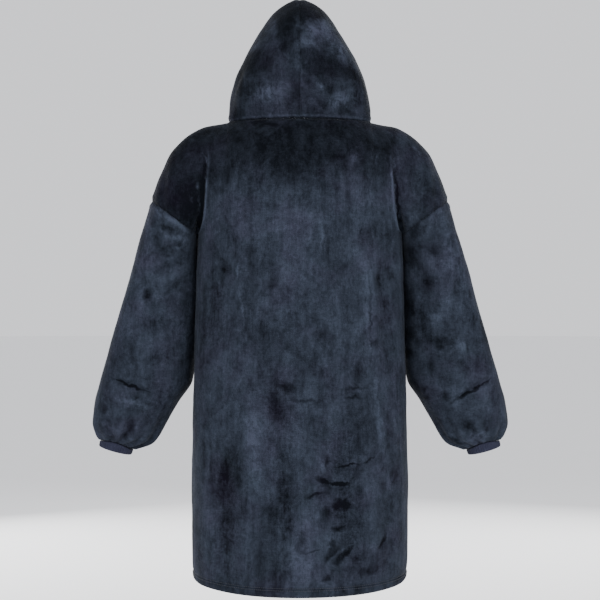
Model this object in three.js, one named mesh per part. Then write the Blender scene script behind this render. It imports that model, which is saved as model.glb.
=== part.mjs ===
// A wearable blanket hoodie: a knee-length plush pullover with dropped shoulders, wide sleeves
// gathered into short rib cuffs, and a hood of two halves. It keeps the hollow shape that a wearer gives it.
// Millimetres, +Z up. The wearer faces -Y, so +X is the wearer's left and the back panel faces +Y.
// The origin is midway between the shoulders at the height of the neck seam, where a wearer carries it.
import * as THREE from "three";

const WALL = 3; // the plush with its pile and backing
const CUFF_WALL = 2.5;
const SEAM_GAP = 0.4; // clear space between two pieces that are sewn together
const SIDES = { left: 1, right: -1 };

// Body, one row for each level: half width at the side seams, depth of the back and of the front, and how
// square the ring is, where 2 is an ellipse.
const BODY_LEVELS = [
  { z: -902, half: 212, back: 193, front: 184, square: 2 },
  { z: -870, half: 214, back: 191, front: 182, square: 2.05 },
  { z: -790, half: 215, back: 186, front: 178, square: 2.15 },
  { z: -650, half: 214, back: 176, front: 170, square: 2.15 },
  { z: -510, half: 212, back: 165, front: 160, square: 2.15 },
  { z: -410, half: 209, back: 156, front: 151, square: 2.15 },
  { z: -310, half: 206, back: 147, front: 144, square: 2.15 },
  { z: -214, half: 204, back: 141, front: 138, square: 2.15 },
  { z: -110, half: 205, back: 137, front: 134, square: 2.15 },
  { z: 12, half: 206, back: 132, front: 130, square: 2.15 },
];
const HEM_Z = BODY_LEVELS[0].z;
const HEM_DEPTH = 18; // turned up and stitched
const HEM_SIDE_LIFT = 4; // the hem rises this much towards the side seams
const HEM_LIFT_REACH = 160;
const HEM_STITCH = { sink: 1.2, half: 3 };
const HEM_ROWS = [0, 0.5, 1, 1.5]; // as shares of the hem's depth

// Dropped shoulder: the armhole lies in a plane that runs front to back through these two points.
const UNDERARM = { x: 204, z: -214 };
const ARMHOLE_TOP = { x: 296, z: -146 };
const ARM_DEPTH = { back: 72, front: 76 };
const ARM_ROUNDING = 55;
const CREASE_BLEND = { size: 26, reach: 60 }; // the crease softens over this height above the underarm
// Where the arm's inner side would lie inside the body, which sets the crease between arm and back.
const ARM_INNER = [
  { z: -214, x: 204 },
  { z: -180, x: 184 },
  { z: -146, x: 165 },
  { z: -60, x: 124 },
  { z: 12, x: 100 },
];

// Shoulder line from the neck seam out to the top of the armhole.
const SHOULDER_LINE = [
  { x: 142, z: 9 },
  { x: 160, z: 6 },
  { x: 176, z: 3.6 },
  { x: 190, z: 0.5 },
  { x: 210, z: -9 },
  { x: 228, z: -21 },
  { x: 244, z: -36 },
  { x: 259, z: -54 },
  { x: 273, z: -84 },
  { x: 283, z: -107 },
  { x: 296, z: -146 },
];
// The crease itself, from the underarm up to where it dies out under the shoulder.
const CREASE_LINE = [
  { z: -214, x: 204 },
  { z: -200, x: 196 },
  { z: -170, x: 190 },
  { z: -112, x: 184 },
  { z: -71, x: 181 },
  { z: -42, x: 185 },
  { z: 0.5, x: 190 },
];

// How far below its top edge the cloth takes to reach its full depth.
const TOP_REACH = [
  { x: 0, reach: 135 },
  { x: 142, reach: 105 },
  { x: 220, reach: 84 },
  { x: 296, reach: 64 },
];

const NECK = { half: 142, back: 85, front: 122, backZ: 11, sideZ: 9, frontZ: -62, frontCurve: 1.6 };
const NECK_MITRE_RISE = 0.7; // the neck seam's wall leans in between the shoulder and the hood
const SMALL_TURN = 0.002; // for the direction of the neck seam
const ROUND = 0.5; // power of a top edge that rounds over like a quarter circle; 1 slopes away

// Soft vertical folds of the body: where they run, their half width and how deep they are.
const BODY_FOLDS = [
  { side: "back", x: -148, from: -520, to: -200, half: 20, depth: 4 },
  { side: "back", x: 112, from: -560, to: -210, half: 24, depth: 3 },
  { side: "back", x: 38, from: -930, to: -470, half: 30, depth: 4 },
  { side: "back", x: -96, from: -930, to: -560, half: 34, depth: 5 },
  { side: "back", x: 150, from: -930, to: -600, half: 26, depth: 4 },
  { side: "front", x: 120, from: -930, to: -330, half: 30, depth: 6 },
  { side: "front", x: -20, from: -930, to: -420, half: 34, depth: 5 },
  { side: "front", x: -140, from: -930, to: -380, half: 28, depth: 6 },
];

// Sleeve, one row for each ring: its outer and inner end, half its depth and how square it is.
const SLEEVE_RINGS = [
  { along: 0, outX: 296, outY: 0, outZ: -146, inX: 205, inY: 0, inZ: -213.3, deep: 72, square: 2 },
  { along: 0.1, outX: 309, outY: -3, outZ: -188, inX: 205.5, inY: -18, inZ: -252, deep: 74, square: 2.1 },
  { along: 0.22, outX: 323, outY: -8, outZ: -236, inX: 204.5, inY: -36, inZ: -296, deep: 76, square: 2.2 },
  { along: 0.38, outX: 345, outY: -14, outZ: -310, inX: 205, inY: -44, inZ: -352, deep: 78, square: 2.2 },
  { along: 0.54, outX: 369, outY: -20, outZ: -392, inX: 208, inY: -46, inZ: -416, deep: 80, square: 2.2 },
  { along: 0.68, outX: 389, outY: -25, outZ: -460, inX: 212, inY: -46, inZ: -466, deep: 82, square: 2.2 },
  { along: 0.78, outX: 403, outY: -30, outZ: -508, inX: 218.5, inY: -44, inZ: -507, deep: 82, square: 2.2 },
  { along: 0.86, outX: 414, outY: -33, outZ: -549, inX: 244, inY: -42, inZ: -547, deep: 80, square: 2.2 },
  { along: 0.93, outX: 420, outY: -36, outZ: -591, inX: 269, inY: -41, inZ: -591, deep: 70, square: 2.1 },
  { along: 0.97, outX: 413, outY: -38, outZ: -614, inX: 296, inY: -41, inZ: -631, deep: 55, square: 2 },
  { along: 1, outX: 404, outY: -39, outZ: -628, inX: 338, inY: -41, inZ: -647, deep: 36, square: 2 },
];
const ARMHOLE_FADE = 0.24; // the armhole's own shape is lost by here
const GATHER = { count: 8, from: 0.86, raise: 2.4 };
const WRIST_ARCH = 7; // the wrist seam rises this much over the back and the front of the arm
// Creases that the bent arm leaves across the forearm, from their outer to their inner end.
const SLEEVE_CREASES = [
  { sideName: "left", outX: 388, outZ: -503, inX: 296, inZ: -533, half: 10, depth: 7 },
  { sideName: "left", outX: 386, outZ: -535, inX: 306, inZ: -560, half: 12, depth: 4 },
  { sideName: "right", outX: 398, outZ: -498, inX: 303, inZ: -553, half: 10, depth: 7 },
];

const CREASE_ENDS = { start: 0.2, past: 1.15, finish: 0.35 }; // shares of its length over which one fades

const CUFF = { length: 10.5, flare: 0.98, rounding: 0.02, rings: [0, 0.15, 0.85, 1] };

// Hood half, one row for each section from the neck seam to the front of the crown: its point on the
// centre seam and its widest point. round 2 is an ellipse, and less is a ridge.
const HOOD_SECTIONS = [
  { seamY: 85, seamZ: 11, sideX: 142, sideY: 0, sideZ: 9, round: 2 },
  { seamY: 99, seamZ: 54, sideX: 141, sideY: -6, sideZ: 48, round: 2 },
  { seamY: 106, seamZ: 101, sideX: 131, sideY: -10, sideZ: 92, round: 2 },
  { seamY: 104, seamZ: 147, sideX: 115, sideY: -16, sideZ: 129, round: 1.95 },
  { seamY: 90, seamZ: 191, sideX: 98, sideY: -26, sideZ: 160, round: 1.85 },
  { seamY: 61, seamZ: 228, sideX: 84, sideY: -42, sideZ: 183, round: 1.75 },
  { seamY: 17, seamZ: 253, sideX: 73, sideY: -62, sideZ: 200, round: 1.7 },
  { seamY: -40, seamZ: 262, sideX: 64, sideY: -88, sideZ: 210, round: 1.65 },
  { seamY: -86, seamZ: 257, sideX: 55, sideY: -110, sideZ: 212, round: 1.65 },
  { seamY: -122, seamZ: 245, sideX: 47, sideY: -129.5, sideZ: 206, round: 1.6 },
];
// The face edge of the hood half, one row for each section.
const HOOD_FACE = [
  { edgeX: 3, edgeY: -122, edgeZ: -62 },
  { edgeX: 50, edgeY: -140, edgeZ: -28 },
  { edgeX: 78, edgeY: -150, edgeZ: 12 },
  { edgeX: 90, edgeY: -155, edgeZ: 54 },
  { edgeX: 92, edgeY: -155, edgeZ: 92 },
  { edgeX: 85, edgeY: -150, edgeZ: 124 },
  { edgeX: 76, edgeY: -145, edgeZ: 150 },
  { edgeX: 67, edgeY: -139, edgeZ: 171 },
  { edgeX: 58, edgeY: -135, edgeZ: 187 },
  { edgeX: 50, edgeY: -131, edgeZ: 199 },
];

// How finely each piece is divided.
const BODY_COLUMNS = { neck: 7, crease: 10, all: 15 }; // counted from the centre out
const SHOULDER_SPREAD = 1.4; // the shoulder's columns close up towards the armhole
const BODY_ROWS = { below: 8, above: 16 };
const SQUEEZE = { share: 0.07, reach: 170 }; // columns beyond the crease close up towards the underarm
// The sleeve's rings close up towards the wrist.
const SLEEVE_GRID = { rings: 19, around: 2 * BODY_ROWS.above, closing: 0.5 };
const HOOD_GRID = { rows: 14, columns: 2 * BODY_COLUMNS.neck };

const clamp = (value, low, high) => Math.min(high, Math.max(low, value));
const mix = (a, b, share) => a + (b - a) * share;
const ease = (share) => share * share * (3 - 2 * share);

// A smooth function through one column of a table, with no overshoot between its rows.
function track(rows, by, column) {
  const at = rows.map((row) => row[by]);
  const value = rows.map((row) => row[column]);
  const last = rows.length - 1;
  const rise = at.slice(1).map((a, i) => (value[i + 1] - value[i]) / (a - at[i]));
  const slope = at.map((_, i) => {
    if (i === 0) return rise[0];
    if (i === last) return rise[last - 1];
    return rise[i - 1] * rise[i] <= 0 ? 0 : (2 * rise[i - 1] * rise[i]) / (rise[i - 1] + rise[i]);
  });
  return (where) => {
    const x = clamp(where, at[0], at[last]);
    const i = clamp(at.findIndex((a) => a > x) - 1, 0, last - 1);
    const k = x >= at[last] ? last - 1 : i;
    const step = at[k + 1] - at[k];
    const t = (x - at[k]) / step;
    const near = (1 + 2 * t) * (1 - t) ** 2 * value[k] + t * (1 - t) ** 2 * step * slope[k];
    const far = t * t * (3 - 2 * t) * value[k + 1] + t * t * (t - 1) * step * slope[k + 1];
    return near + far;
  };
}

// Every column of a table but the one it goes by, each as such a function.
function tracks(rows, by) {
  const columns = Object.keys(rows[0]).filter((key) => key !== by);
  return Object.fromEntries(columns.map((key) => [key, track(rows, by, key)]));
}

const bodyAt = tracks(BODY_LEVELS, "z");
const armInnerAt = track(ARM_INNER, "z", "x");
const creaseAt = track(CREASE_LINE, "z", "x");
const shoulderZ = track(SHOULDER_LINE, "x", "z");
const topReach = track(TOP_REACH, "x", "reach");
const sleeveAt = tracks(SLEEVE_RINGS, "along");
const hoodRows = HOOD_SECTIONS.map((row, section) => ({ section, ...row, ...HOOD_FACE[section] }));
const hoodAt = tracks(hoodRows, "section");

// A point of the neck seam: turn 0 is the centre back, a quarter is the shoulder, a half the centre front.
function neckPoint(turn) {
  const c = Math.cos(turn * 2 * Math.PI);
  const behind = c > 0;
  const y = c * (behind ? NECK.back : NECK.front);
  const share = behind ? c * c : (-c) ** NECK.frontCurve;
  const z = mix(NECK.sideZ, behind ? NECK.backZ : NECK.frontZ, share);
  return new THREE.Vector3(NECK.half * Math.sin(turn * 2 * Math.PI), y, z);
}

// The neck seam's wall direction, shared by the body and the hood, and the way from one to the other.
function neckMitre(turn) {
  const along = neckPoint(turn + SMALL_TURN).sub(neckPoint(turn - SMALL_TURN)).normalize();
  const outward = new THREE.Vector3().crossVectors(along, new THREE.Vector3(0, 0, 1)).normalize();
  const rise = new THREE.Vector3().crossVectors(outward, along).normalize();
  if (outward.dot(neckPoint(turn).setZ(0)) < 0) outward.negate();
  if (rise.z < 0) rise.negate();
  const lean = outward.clone().addScaledVector(rise, NECK_MITRE_RISE).normalize();
  const across = rise.clone().addScaledVector(outward, -NECK_MITRE_RISE).normalize();
  return { lean, across };
}

// The top edge of a body panel above x: its depth and height, and how the cloth falls away from it.
function topEdge(x, side) {
  if (x >= NECK.half) {
    const slope = (shoulderZ(x + 1) - shoulderZ(x - 1)) / (Math.min(x + 1, ARMHOLE_TOP.x) - x + 1);
    return { y: 0, z: shoulderZ(x), slope, power: ROUND };
  }
  const quarter = Math.asin(x / NECK.half) / (2 * Math.PI);
  const point = neckPoint(side === "back" ? quarter : 0.5 - quarter);
  return { y: Math.abs(point.y), z: point.z, slope: 0, power: 1 - (1 - ROUND) * (x / NECK.half) ** 2 };
}

function smoothMax(a, b, blend) {
  const near = Math.max(blend - Math.abs(a - b), 0);
  return Math.max(a, b) + (blend > 0 ? (near * near) / (4 * blend) : 0);
}

// Depth of the cloth from the plane of the side seams at a place of the upper body.
function upperDepth(x, z, side) {
  const across = clamp(x / bodyAt.half(z), 0, 1);
  const torso = bodyAt[side](z) * (1 - across ** bodyAt.square(z)) ** (1 / bodyAt.square(z));
  const inward = clamp(1 - (x - armInnerAt(z)) / ARM_ROUNDING, 0, 1);
  const arm = ARM_DEPTH[side] * Math.sqrt(1 - inward * inward);
  const blend = CREASE_BLEND.size * clamp((z - UNDERARM.z) / CREASE_BLEND.reach, 0, 1);
  const full = smoothMax(torso, arm, blend);
  const edge = topEdge(x, side);
  const below = (edge.z - z) / Math.hypot(1, edge.slope);
  const fallen = clamp(below / topReach(x), 0, 1);
  return edge.y + (full - edge.y) * (1 - (1 - fallen) ** 2) ** edge.power;
}

// The armhole at a share of the way from its top to the underarm, on the plane through both.
function armholePoint(share, side) {
  const x = mix(ARMHOLE_TOP.x, UNDERARM.x, share);
  const z = mix(ARMHOLE_TOP.z, UNDERARM.z, share);
  const ends = share < 1e-6 || share > 1 - 1e-6;
  return new THREE.Vector3(x, ends ? 0 : upperDepth(x, z, side), z);
}

const ARMHOLE_LINE = new THREE.Vector3(ARMHOLE_TOP.x - UNDERARM.x, 0, ARMHOLE_TOP.z - UNDERARM.z).normalize();
const ARMHOLE_AXIS = new THREE.Vector3(-ARMHOLE_LINE.z, 0, ARMHOLE_LINE.x); // from the sleeve into the body

// Unit normals of a grid of points. outwards is 1 or -1, for the way that its rows and columns run.
function gridNormals(points, closed, outwards) {
  const rows = points.length;
  const columns = points[0].length;
  return points.map((row, i) =>
    row.map((_, j) => {
      const before = closed ? (j + columns - 1) % columns : Math.max(j - 1, 0);
      const after = closed ? (j + 1) % columns : Math.min(j + 1, columns - 1);
      const across = row[after].clone().sub(row[before]);
      const up = points[Math.min(i + 1, rows - 1)][j].clone().sub(points[Math.max(i - 1, 0)][j]);
      return across.cross(up).multiplyScalar(outwards).normalize();
    }),
  );
}

// Leans a normal into the plane across an axis, and moves its point off that plane, for a seam.
function seamEdge(point, normal, axis, gap) {
  normal.addScaledVector(axis, -normal.dot(axis)).normalize();
  point.addScaledVector(axis, gap);
}

// A cloth wall: the outer grid, a copy of it moved in, and the strips that close its edges.
// plain gives the grid that the inner side follows, where the outer one is raised.
function clothWall(points, normals, { closed = false, outwards = 1, wall = WALL, plain = points }) {
  const rows = points.length;
  const columns = points[0].length;
  const layer = rows * columns;
  const inner = plain.map((row, i) => row.map((p, j) => p.clone().addScaledVector(normals[i][j], -wall)));
  const position = [...points, ...inner].flatMap((row) => row.flatMap((p) => [p.x, p.y, p.z]));
  const index = [];
  const face = (a, b, c) => (outwards > 0 ? index.push(a, b, c) : index.push(a, c, b));
  const quad = (a, b, c, d) => {
    face(a, b, c);
    face(a, c, d);
  };
  const spans = closed ? columns : columns - 1;
  for (let i = 0; i < rows - 1; i++) {
    for (let j = 0; j < spans; j++) {
      const [a, b] = [i * columns + j, i * columns + ((j + 1) % columns)];
      const [c, d] = [b + columns, a + columns];
      quad(a, b, c, d);
      quad(a + layer, d + layer, c + layer, b + layer);
    }
  }
  for (let j = 0; j < spans; j++) {
    const [a, b] = [j, (j + 1) % columns];
    const top = (rows - 1) * columns;
    quad(a + layer, b + layer, b, a);
    quad(top + a, top + b, top + b + layer, top + a + layer);
  }
  for (let i = 0; !closed && i < rows - 1; i++) {
    const [a, d] = [i * columns, (i + 1) * columns];
    const [b, c] = [a + columns - 1, d + columns - 1];
    quad(a, d, d + layer, a + layer);
    quad(c, b, b + layer, c + layer);
  }
  const geometry = new THREE.BufferGeometry();
  geometry.setAttribute("position", new THREE.Float32BufferAttribute(position, 3));
  geometry.setIndex(index);
  geometry.computeVertexNormals();
  return geometry;
}

const plush = new THREE.MeshStandardMaterial({ color: 0x3a4458, roughness: 0.95, metalness: 0 });
const rib = new THREE.MeshStandardMaterial({ color: 0x2b3048, roughness: 0.9, metalness: 0 });

function piece(name, geometry, material) {
  const mesh = new THREE.Mesh(geometry, material);
  mesh.name = name;
  return mesh;
}

function foldDepth(x, z, side) {
  return BODY_FOLDS.filter((fold) => fold.side === side).reduce((sum, fold) => {
    const middle = (fold.from + fold.to) / 2;
    const reach = (fold.to - fold.from) / 2;
    const along = clamp(1 - Math.abs((z - middle) / reach), 0, 1);
    return sum + fold.depth * ease(along) * Math.exp(-(((x - fold.x) / fold.half) ** 2));
  }, 0);
}

// How far round from the centre to the side seam each column of a lower row lies.
function columnShare(j, z) {
  const { crease, all } = BODY_COLUMNS;
  const even = j / all;
  const inner = (j / crease) * (1 - SQUEEZE.share);
  const outer = 1 - (SQUEEZE.share * (all - j)) / (all - crease);
  const near = ease(clamp(1 - (UNDERARM.z - z) / SQUEEZE.reach, 0, 1));
  return mix(even, j <= crease ? inner : outer, near);
}

// A half row of a body panel below the underarm, from its centre to the side seam.
function lowerRow(z, side) {
  const stitch = Math.exp(-(((z - HEM_Z - HEM_DEPTH) / HEM_STITCH.half) ** 2)) * HEM_STITCH.sink;
  return Array.from({ length: BODY_COLUMNS.all + 1 }, (_, j) => {
    const angle = (columnShare(j, z) * Math.PI) / 2;
    const power = 2 / bodyAt.square(z);
    const across = Math.sin(angle) ** power;
    const x = (bodyAt.half(z) - stitch) * across;
    const y = j === BODY_COLUMNS.all ? 0 : (bodyAt[side](z) - stitch) * Math.cos(angle) ** power;
    const lift = HEM_SIDE_LIFT * across ** 4 * ease(clamp(1 - (z - HEM_Z) / HEM_LIFT_REACH, 0, 1));
    return { x, y, z: z + lift };
  });
}

// The top row of a body panel, along the neck seam and then along the shoulder.
function topRow(side) {
  const { neck, crease, all } = BODY_COLUMNS;
  const top = CREASE_LINE[CREASE_LINE.length - 1];
  return Array.from({ length: all + 1 }, (_, j) => {
    if (j < neck) {
      const { x, y, z } = neckPoint(neckTurn(j, side));
      return { x, y: Math.abs(y), z };
    }
    const inner = mix(NECK.half, top.x, (j - neck) / (crease - neck));
    const outer = 1 - Math.max(1 - (j - crease) / (all - crease), 0) ** SHOULDER_SPREAD;
    const x = j <= crease ? inner : mix(top.x, ARMHOLE_TOP.x, outer);
    return { x, y: 0, z: shoulderZ(x) };
  });
}

// A row between the underarm and the top: its columns keep to their own side of the crease.
function upperRow(rise, side) {
  const { crease, all } = BODY_COLUMNS;
  const low = lowerRow(UNDERARM.z, side);
  const high = topRow(side);
  const creaseZ = mix(UNDERARM.z, high[crease].z, rise);
  const creaseX = creaseAt(creaseZ);
  const armhole = { x: mix(UNDERARM.x, ARMHOLE_TOP.x, rise), z: mix(UNDERARM.z, ARMHOLE_TOP.z, rise) };
  return low.map((start, j) => {
    let place = {};
    if (j <= crease) {
      const share = mix(start.x / low[crease].x, high[j].x / high[crease].x, rise);
      place = { x: creaseX * share, z: mix(start.z, high[j].z, rise) };
    } else {
      const even = (j - crease) / (all - crease);
      const share = mix(even, (high[j].x - high[crease].x) / (ARMHOLE_TOP.x - high[crease].x), rise);
      const drop = mix(even, (high[j].z - high[crease].z) / (ARMHOLE_TOP.z - high[crease].z), rise);
      place = { x: mix(creaseX, armhole.x, share), z: mix(creaseZ, armhole.z, drop) };
    }
    return { ...place, y: upperDepth(place.x, place.z, side) };
  });
}

// Half rows from the hem to the neck and shoulder.
function bodyRows(side) {
  const span = UNDERARM.z - HEM_Z;
  const hem = HEM_ROWS.map((share) => HEM_Z + share * HEM_DEPTH);
  const rest = Array.from({ length: BODY_ROWS.below }, (_, i) => HEM_Z + (span * (i + 1)) / BODY_ROWS.below);
  const lower = [...hem, ...rest].map((z) => lowerRow(z, side));
  const upper = Array.from({ length: BODY_ROWS.above - 1 }, (_, i) => {
    const angle = ((i + 1) / BODY_ROWS.above) * Math.PI;
    return upperRow((1 - Math.cos(angle)) / 2, side);
  });
  return { rows: [...lower, ...upper, topRow(side)], underarm: lower.length - 1 };
}

// The half turn of the neck seam that a column of a panel's top row lies at.
function neckTurn(offCentre, side) {
  const quarter = (offCentre / BODY_COLUMNS.neck) * 0.25;
  return side === "back" ? quarter : 0.5 - quarter;
}

// Leans the wall of one row's edges into the seams that they belong to, and leaves half a gap there.
function seamRow(row, normals, place, side) {
  const facing = side === "back" ? 1 : -1;
  const centre = (row.length - 1) / 2;
  row.forEach((p, j) => {
    const offCentre = Math.abs(j - centre);
    const hand = Math.sign(j - centre);
    const atSide = offCentre === centre;
    const armholeAxis = new THREE.Vector3(hand * ARMHOLE_AXIS.x, 0, ARMHOLE_AXIS.z);
    const facingAxis = new THREE.Vector3(0, facing, 0);
    if (atSide && place !== "below") seamEdge(p, normals[j], armholeAxis, SEAM_GAP / 2);
    if (atSide && place === "underarm") normals[j].set(hand * ARMHOLE_LINE.x, 0, ARMHOLE_LINE.z);
    if (atSide && place !== "above") seamEdge(p, normals[j], facingAxis, SEAM_GAP / 2);
    if (place !== "top") return;
    if (!atSide && offCentre >= BODY_COLUMNS.neck) seamEdge(p, normals[j], facingAxis, SEAM_GAP / 2);
    if (offCentre > BODY_COLUMNS.neck) return;
    const { lean, across } = neckMitre(neckTurn(offCentre, side));
    if (hand < 0) [lean, across].forEach((v) => v.setX(-v.x));
    normals[j].copy(lean);
    p.addScaledVector(across, -SEAM_GAP / 2);
  });
}

function bodyPanel(side) {
  const facing = side === "back" ? 1 : -1;
  const { rows, underarm } = bodyRows(side);
  const points = rows.map((row) => {
    const half = row.map(({ x, y, z }) => new THREE.Vector3(x, facing * y, z));
    const mirrored = half.slice(1).map((p) => new THREE.Vector3(-p.x, p.y, p.z));
    return [...mirrored.reverse(), ...half];
  });
  const normals = gridNormals(points, false, -facing);
  points.forEach((row, i) => {
    for (const [j, p] of row.slice(1, -1).entries()) {
      if (i > 0) p.addScaledVector(normals[i][j + 1], -foldDepth(p.x, p.z, side));
    }
    const upper = i === rows.length - 1 ? "top" : "above";
    const lower = i === underarm ? "underarm" : "below";
    seamRow(row, normals[i], i > underarm ? upper : lower, side);
  });
  return piece(side + "_panel", clothWall(points, normals, { outwards: -facing }), plush);
}

// The depth of a sleeve ring at a share of the way across it, on its back or its front.
function ringDepth(along, share, side) {
  const angle = Math.acos(1 - 2 * share);
  const own = sleeveAt.deep(along) * Math.sin(angle) ** (2 / sleeveAt.square(along));
  const fade = ease(clamp(1 - along / ARMHOLE_FADE, 0, 1));
  return fade > 0 ? mix(own, armholePoint(share, side).y, fade) : own;
}

function sleevePoint(along, j, raise) {
  const turn = (j / SLEEVE_GRID.around) * 2 * Math.PI;
  const share = (1 - Math.cos(turn)) / 2;
  const side = Math.sin(turn) >= 0 ? "back" : "front";
  const facing = side === "back" ? 1 : -1;
  const x = mix(sleeveAt.outX(along), sleeveAt.inX(along), share);
  const y = mix(sleeveAt.outY(along), sleeveAt.inY(along), share);
  const z = mix(sleeveAt.outZ(along), sleeveAt.inZ(along), share);
  const onEdge = Math.abs(Math.sin(turn)) < 1e-6;
  const depth = onEdge ? 0 : ringDepth(along, share, side);
  const point = new THREE.Vector3(x, y + facing * depth, z);
  const gathered = ease(clamp((along - GATHER.from) / (1 - GATHER.from), 0, 1));
  const wave = Math.cos(GATHER.count * turn) * GATHER.raise * gathered * raise;
  const { middle, down } = ringFrame(along);
  point.addScaledVector(point.clone().sub(middle).normalize(), wave);
  return point.addScaledVector(down, -WRIST_ARCH * Math.sin(turn) ** 2 * gathered);
}

// How far a crease sinks a point of the sleeve, on its back and its front alike.
function creaseDepth(point, sideName) {
  return SLEEVE_CREASES.filter((crease) => crease.sideName === sideName).reduce((sum, crease) => {
    const way = new THREE.Vector2(crease.inX - crease.outX, crease.inZ - crease.outZ);
    const from = new THREE.Vector2(point.x - crease.outX, point.z - crease.outZ);
    const along = from.dot(way) / way.lengthSq();
    const off = Math.abs(from.cross(way)) / way.length();
    const start = ease(clamp(along / CREASE_ENDS.start, 0, 1));
    const finish = ease(clamp((CREASE_ENDS.past - along) / CREASE_ENDS.finish, 0, 1));
    return sum + crease.depth * start * finish * Math.exp(-((off / crease.half) ** 2));
  }, 0);
}

const ringShares = Array.from({ length: SLEEVE_GRID.rings + 1 }, (_, i) => {
  const even = i / SLEEVE_GRID.rings;
  return mix(even, Math.sin((even * Math.PI) / 2), SLEEVE_GRID.closing);
});

// The middle of a ring of the left sleeve and the way down the arm out of it.
function ringFrame(along) {
  const end = (name) => new THREE.Vector3(...["X", "Y", "Z"].map((c) => sleeveAt[name + c](along)));
  const ends = [end("out"), end("in")];
  const middle = ends[0].clone().add(ends[1]).multiplyScalar(0.5);
  const across = ends[0].clone().sub(ends[1]).normalize();
  const down = new THREE.Vector3().crossVectors(new THREE.Vector3(0, 1, 0), across).normalize();
  if (down.z > 0) down.negate();
  return { middle, down };
}

function sleeveGrid(sideName, raise) {
  return ringShares.map((along) =>
    Array.from({ length: SLEEVE_GRID.around }, (_, j) => {
      const point = sleevePoint(along, j, raise);
      const inward = ringFrame(along).middle.sub(point).normalize();
      point.addScaledVector(inward, creaseDepth(point, sideName));
      return point.setX(point.x * SIDES[sideName]);
    }),
  );
}

function sleeve(sideName) {
  const hand = SIDES[sideName];
  const points = sleeveGrid(sideName, 1);
  const plain = sleeveGrid(sideName, 0);
  const normals = gridNormals(plain, true, -hand);
  const armhole = new THREE.Vector3(-hand * ARMHOLE_AXIS.x, 0, -ARMHOLE_AXIS.z);
  const wrist = ringFrame(1).down.multiply(new THREE.Vector3(hand, 1, 1));
  const last = points.length - 1;
  points[0].forEach((p, j) => {
    seamEdge(p, normals[0][j], armhole, SEAM_GAP / 2);
    plain[0][j].copy(p);
    normals[last][j].addScaledVector(wrist, -normals[last][j].dot(wrist)).normalize();
  });
  const geometry = clothWall(points, normals, { closed: true, outwards: -hand, plain });
  return piece("sleeve_" + sideName, geometry, plush);
}

// The cuff goes on from the sleeve's last ring, along the axis across that ring.
function cuff(sideName) {
  const hand = SIDES[sideName];
  const { middle, down } = ringFrame(1);
  const points = CUFF.rings.map((share) =>
    Array.from({ length: SLEEVE_GRID.around }, (_, j) => {
      const spoke = sleevePoint(1, j, 0).sub(middle);
      const lift = -spoke.dot(down);
      spoke.addScaledVector(down, lift);
      const rounding = 1 - (share === 1 ? CUFF.rounding : 0);
      const point = middle.clone().addScaledVector(spoke, mix(1, CUFF.flare, share) * rounding);
      point.addScaledVector(down, SEAM_GAP - lift + share * (CUFF.length + lift));
      return point.setX(point.x * hand);
    }),
  );
  const normals = gridNormals(points, true, -hand);
  const sleeveWay = down.clone().setX(down.x * hand);
  for (const normal of [...normals[0], ...normals[1]]) {
    normal.addScaledVector(sleeveWay, -normal.dot(sleeveWay)).normalize();
  }
  const geometry = clothWall(points, normals, { closed: true, outwards: -hand, wall: CUFF_WALL });
  return piece("cuff_" + sideName, geometry, rib);
}

// A point of a hood half: section counts rows of its table, across runs from the centre seam to the face.
// The last section is the rim over the face, which runs on into the face edge without a corner.
function hoodPoint(section, across) {
  const at = Object.fromEntries(Object.keys(hoodAt).map((key) => [key, hoodAt[key](section)]));
  const behind = across <= 0.5;
  const angle = (behind ? across : across - 0.5) * Math.PI;
  const power = 2 / at.round;
  const straight = behind ? 0 : ease(clamp(section - HOOD_SECTIONS.length + 2, 0, 1));
  const sine = mix(Math.sin(angle) ** power, 2 * across - 1, straight);
  const cosine = mix(Math.max(Math.cos(angle), 0) ** power, 2 - 2 * across, straight);
  const x = behind ? at.sideX * sine : mix(at.edgeX, at.sideX, cosine);
  const y = behind ? mix(at.sideY, at.seamY, cosine) : mix(at.sideY, at.edgeY, sine);
  const z = behind ? mix(at.sideZ, at.seamZ, cosine) : mix(at.sideZ, at.edgeZ, sine);
  return new THREE.Vector3(x, y, z);
}

function hoodHalf(sideName) {
  const hand = SIDES[sideName];
  const points = Array.from({ length: HOOD_GRID.rows + 1 }, (_, i) =>
    Array.from({ length: HOOD_GRID.columns + 1 }, (_, j) => {
      const across = j / HOOD_GRID.columns;
      const section = (i / HOOD_GRID.rows) * (HOOD_SECTIONS.length - 1);
      const point = i === 0 ? neckPoint(across / 2) : hoodPoint(section, across);
      if (i === 0 && j === HOOD_GRID.columns) {
        const before = neckPoint((j - 1) / HOOD_GRID.columns / 2);
        point.lerp(before, HOOD_FACE[0].edgeX / before.x);
      }
      return point.setX(point.x * hand);
    }),
  );
  const normals = gridNormals(points, false, -hand);
  points.forEach((row, i) => seamEdge(row[0], normals[i][0], new THREE.Vector3(hand, 0, 0), SEAM_GAP / 2));
  points[0].forEach((p, j) => {
    const { lean, across } = neckMitre(j / HOOD_GRID.columns / 2);
    if (hand < 0) [lean, across].forEach((v) => v.setX(-v.x));
    normals[0][j].copy(lean);
    if (j === 0) normals[0][j].setX(0).normalize();
    p.addScaledVector(across, SEAM_GAP / 2);
  });
  return piece("hood_" + sideName, clothWall(points, normals, { outwards: -hand }), plush);
}

const hoodie = new THREE.Group();
hoodie.add(bodyPanel("back"), bodyPanel("front"));
for (const sideName of Object.keys(SIDES)) hoodie.add(sleeve(sideName), cuff(sideName), hoodHalf(sideName));

export default hoodie;
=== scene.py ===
import math

import bmesh
import bpy
import numpy as np
from mathutils import Matrix, Vector, noise


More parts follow.
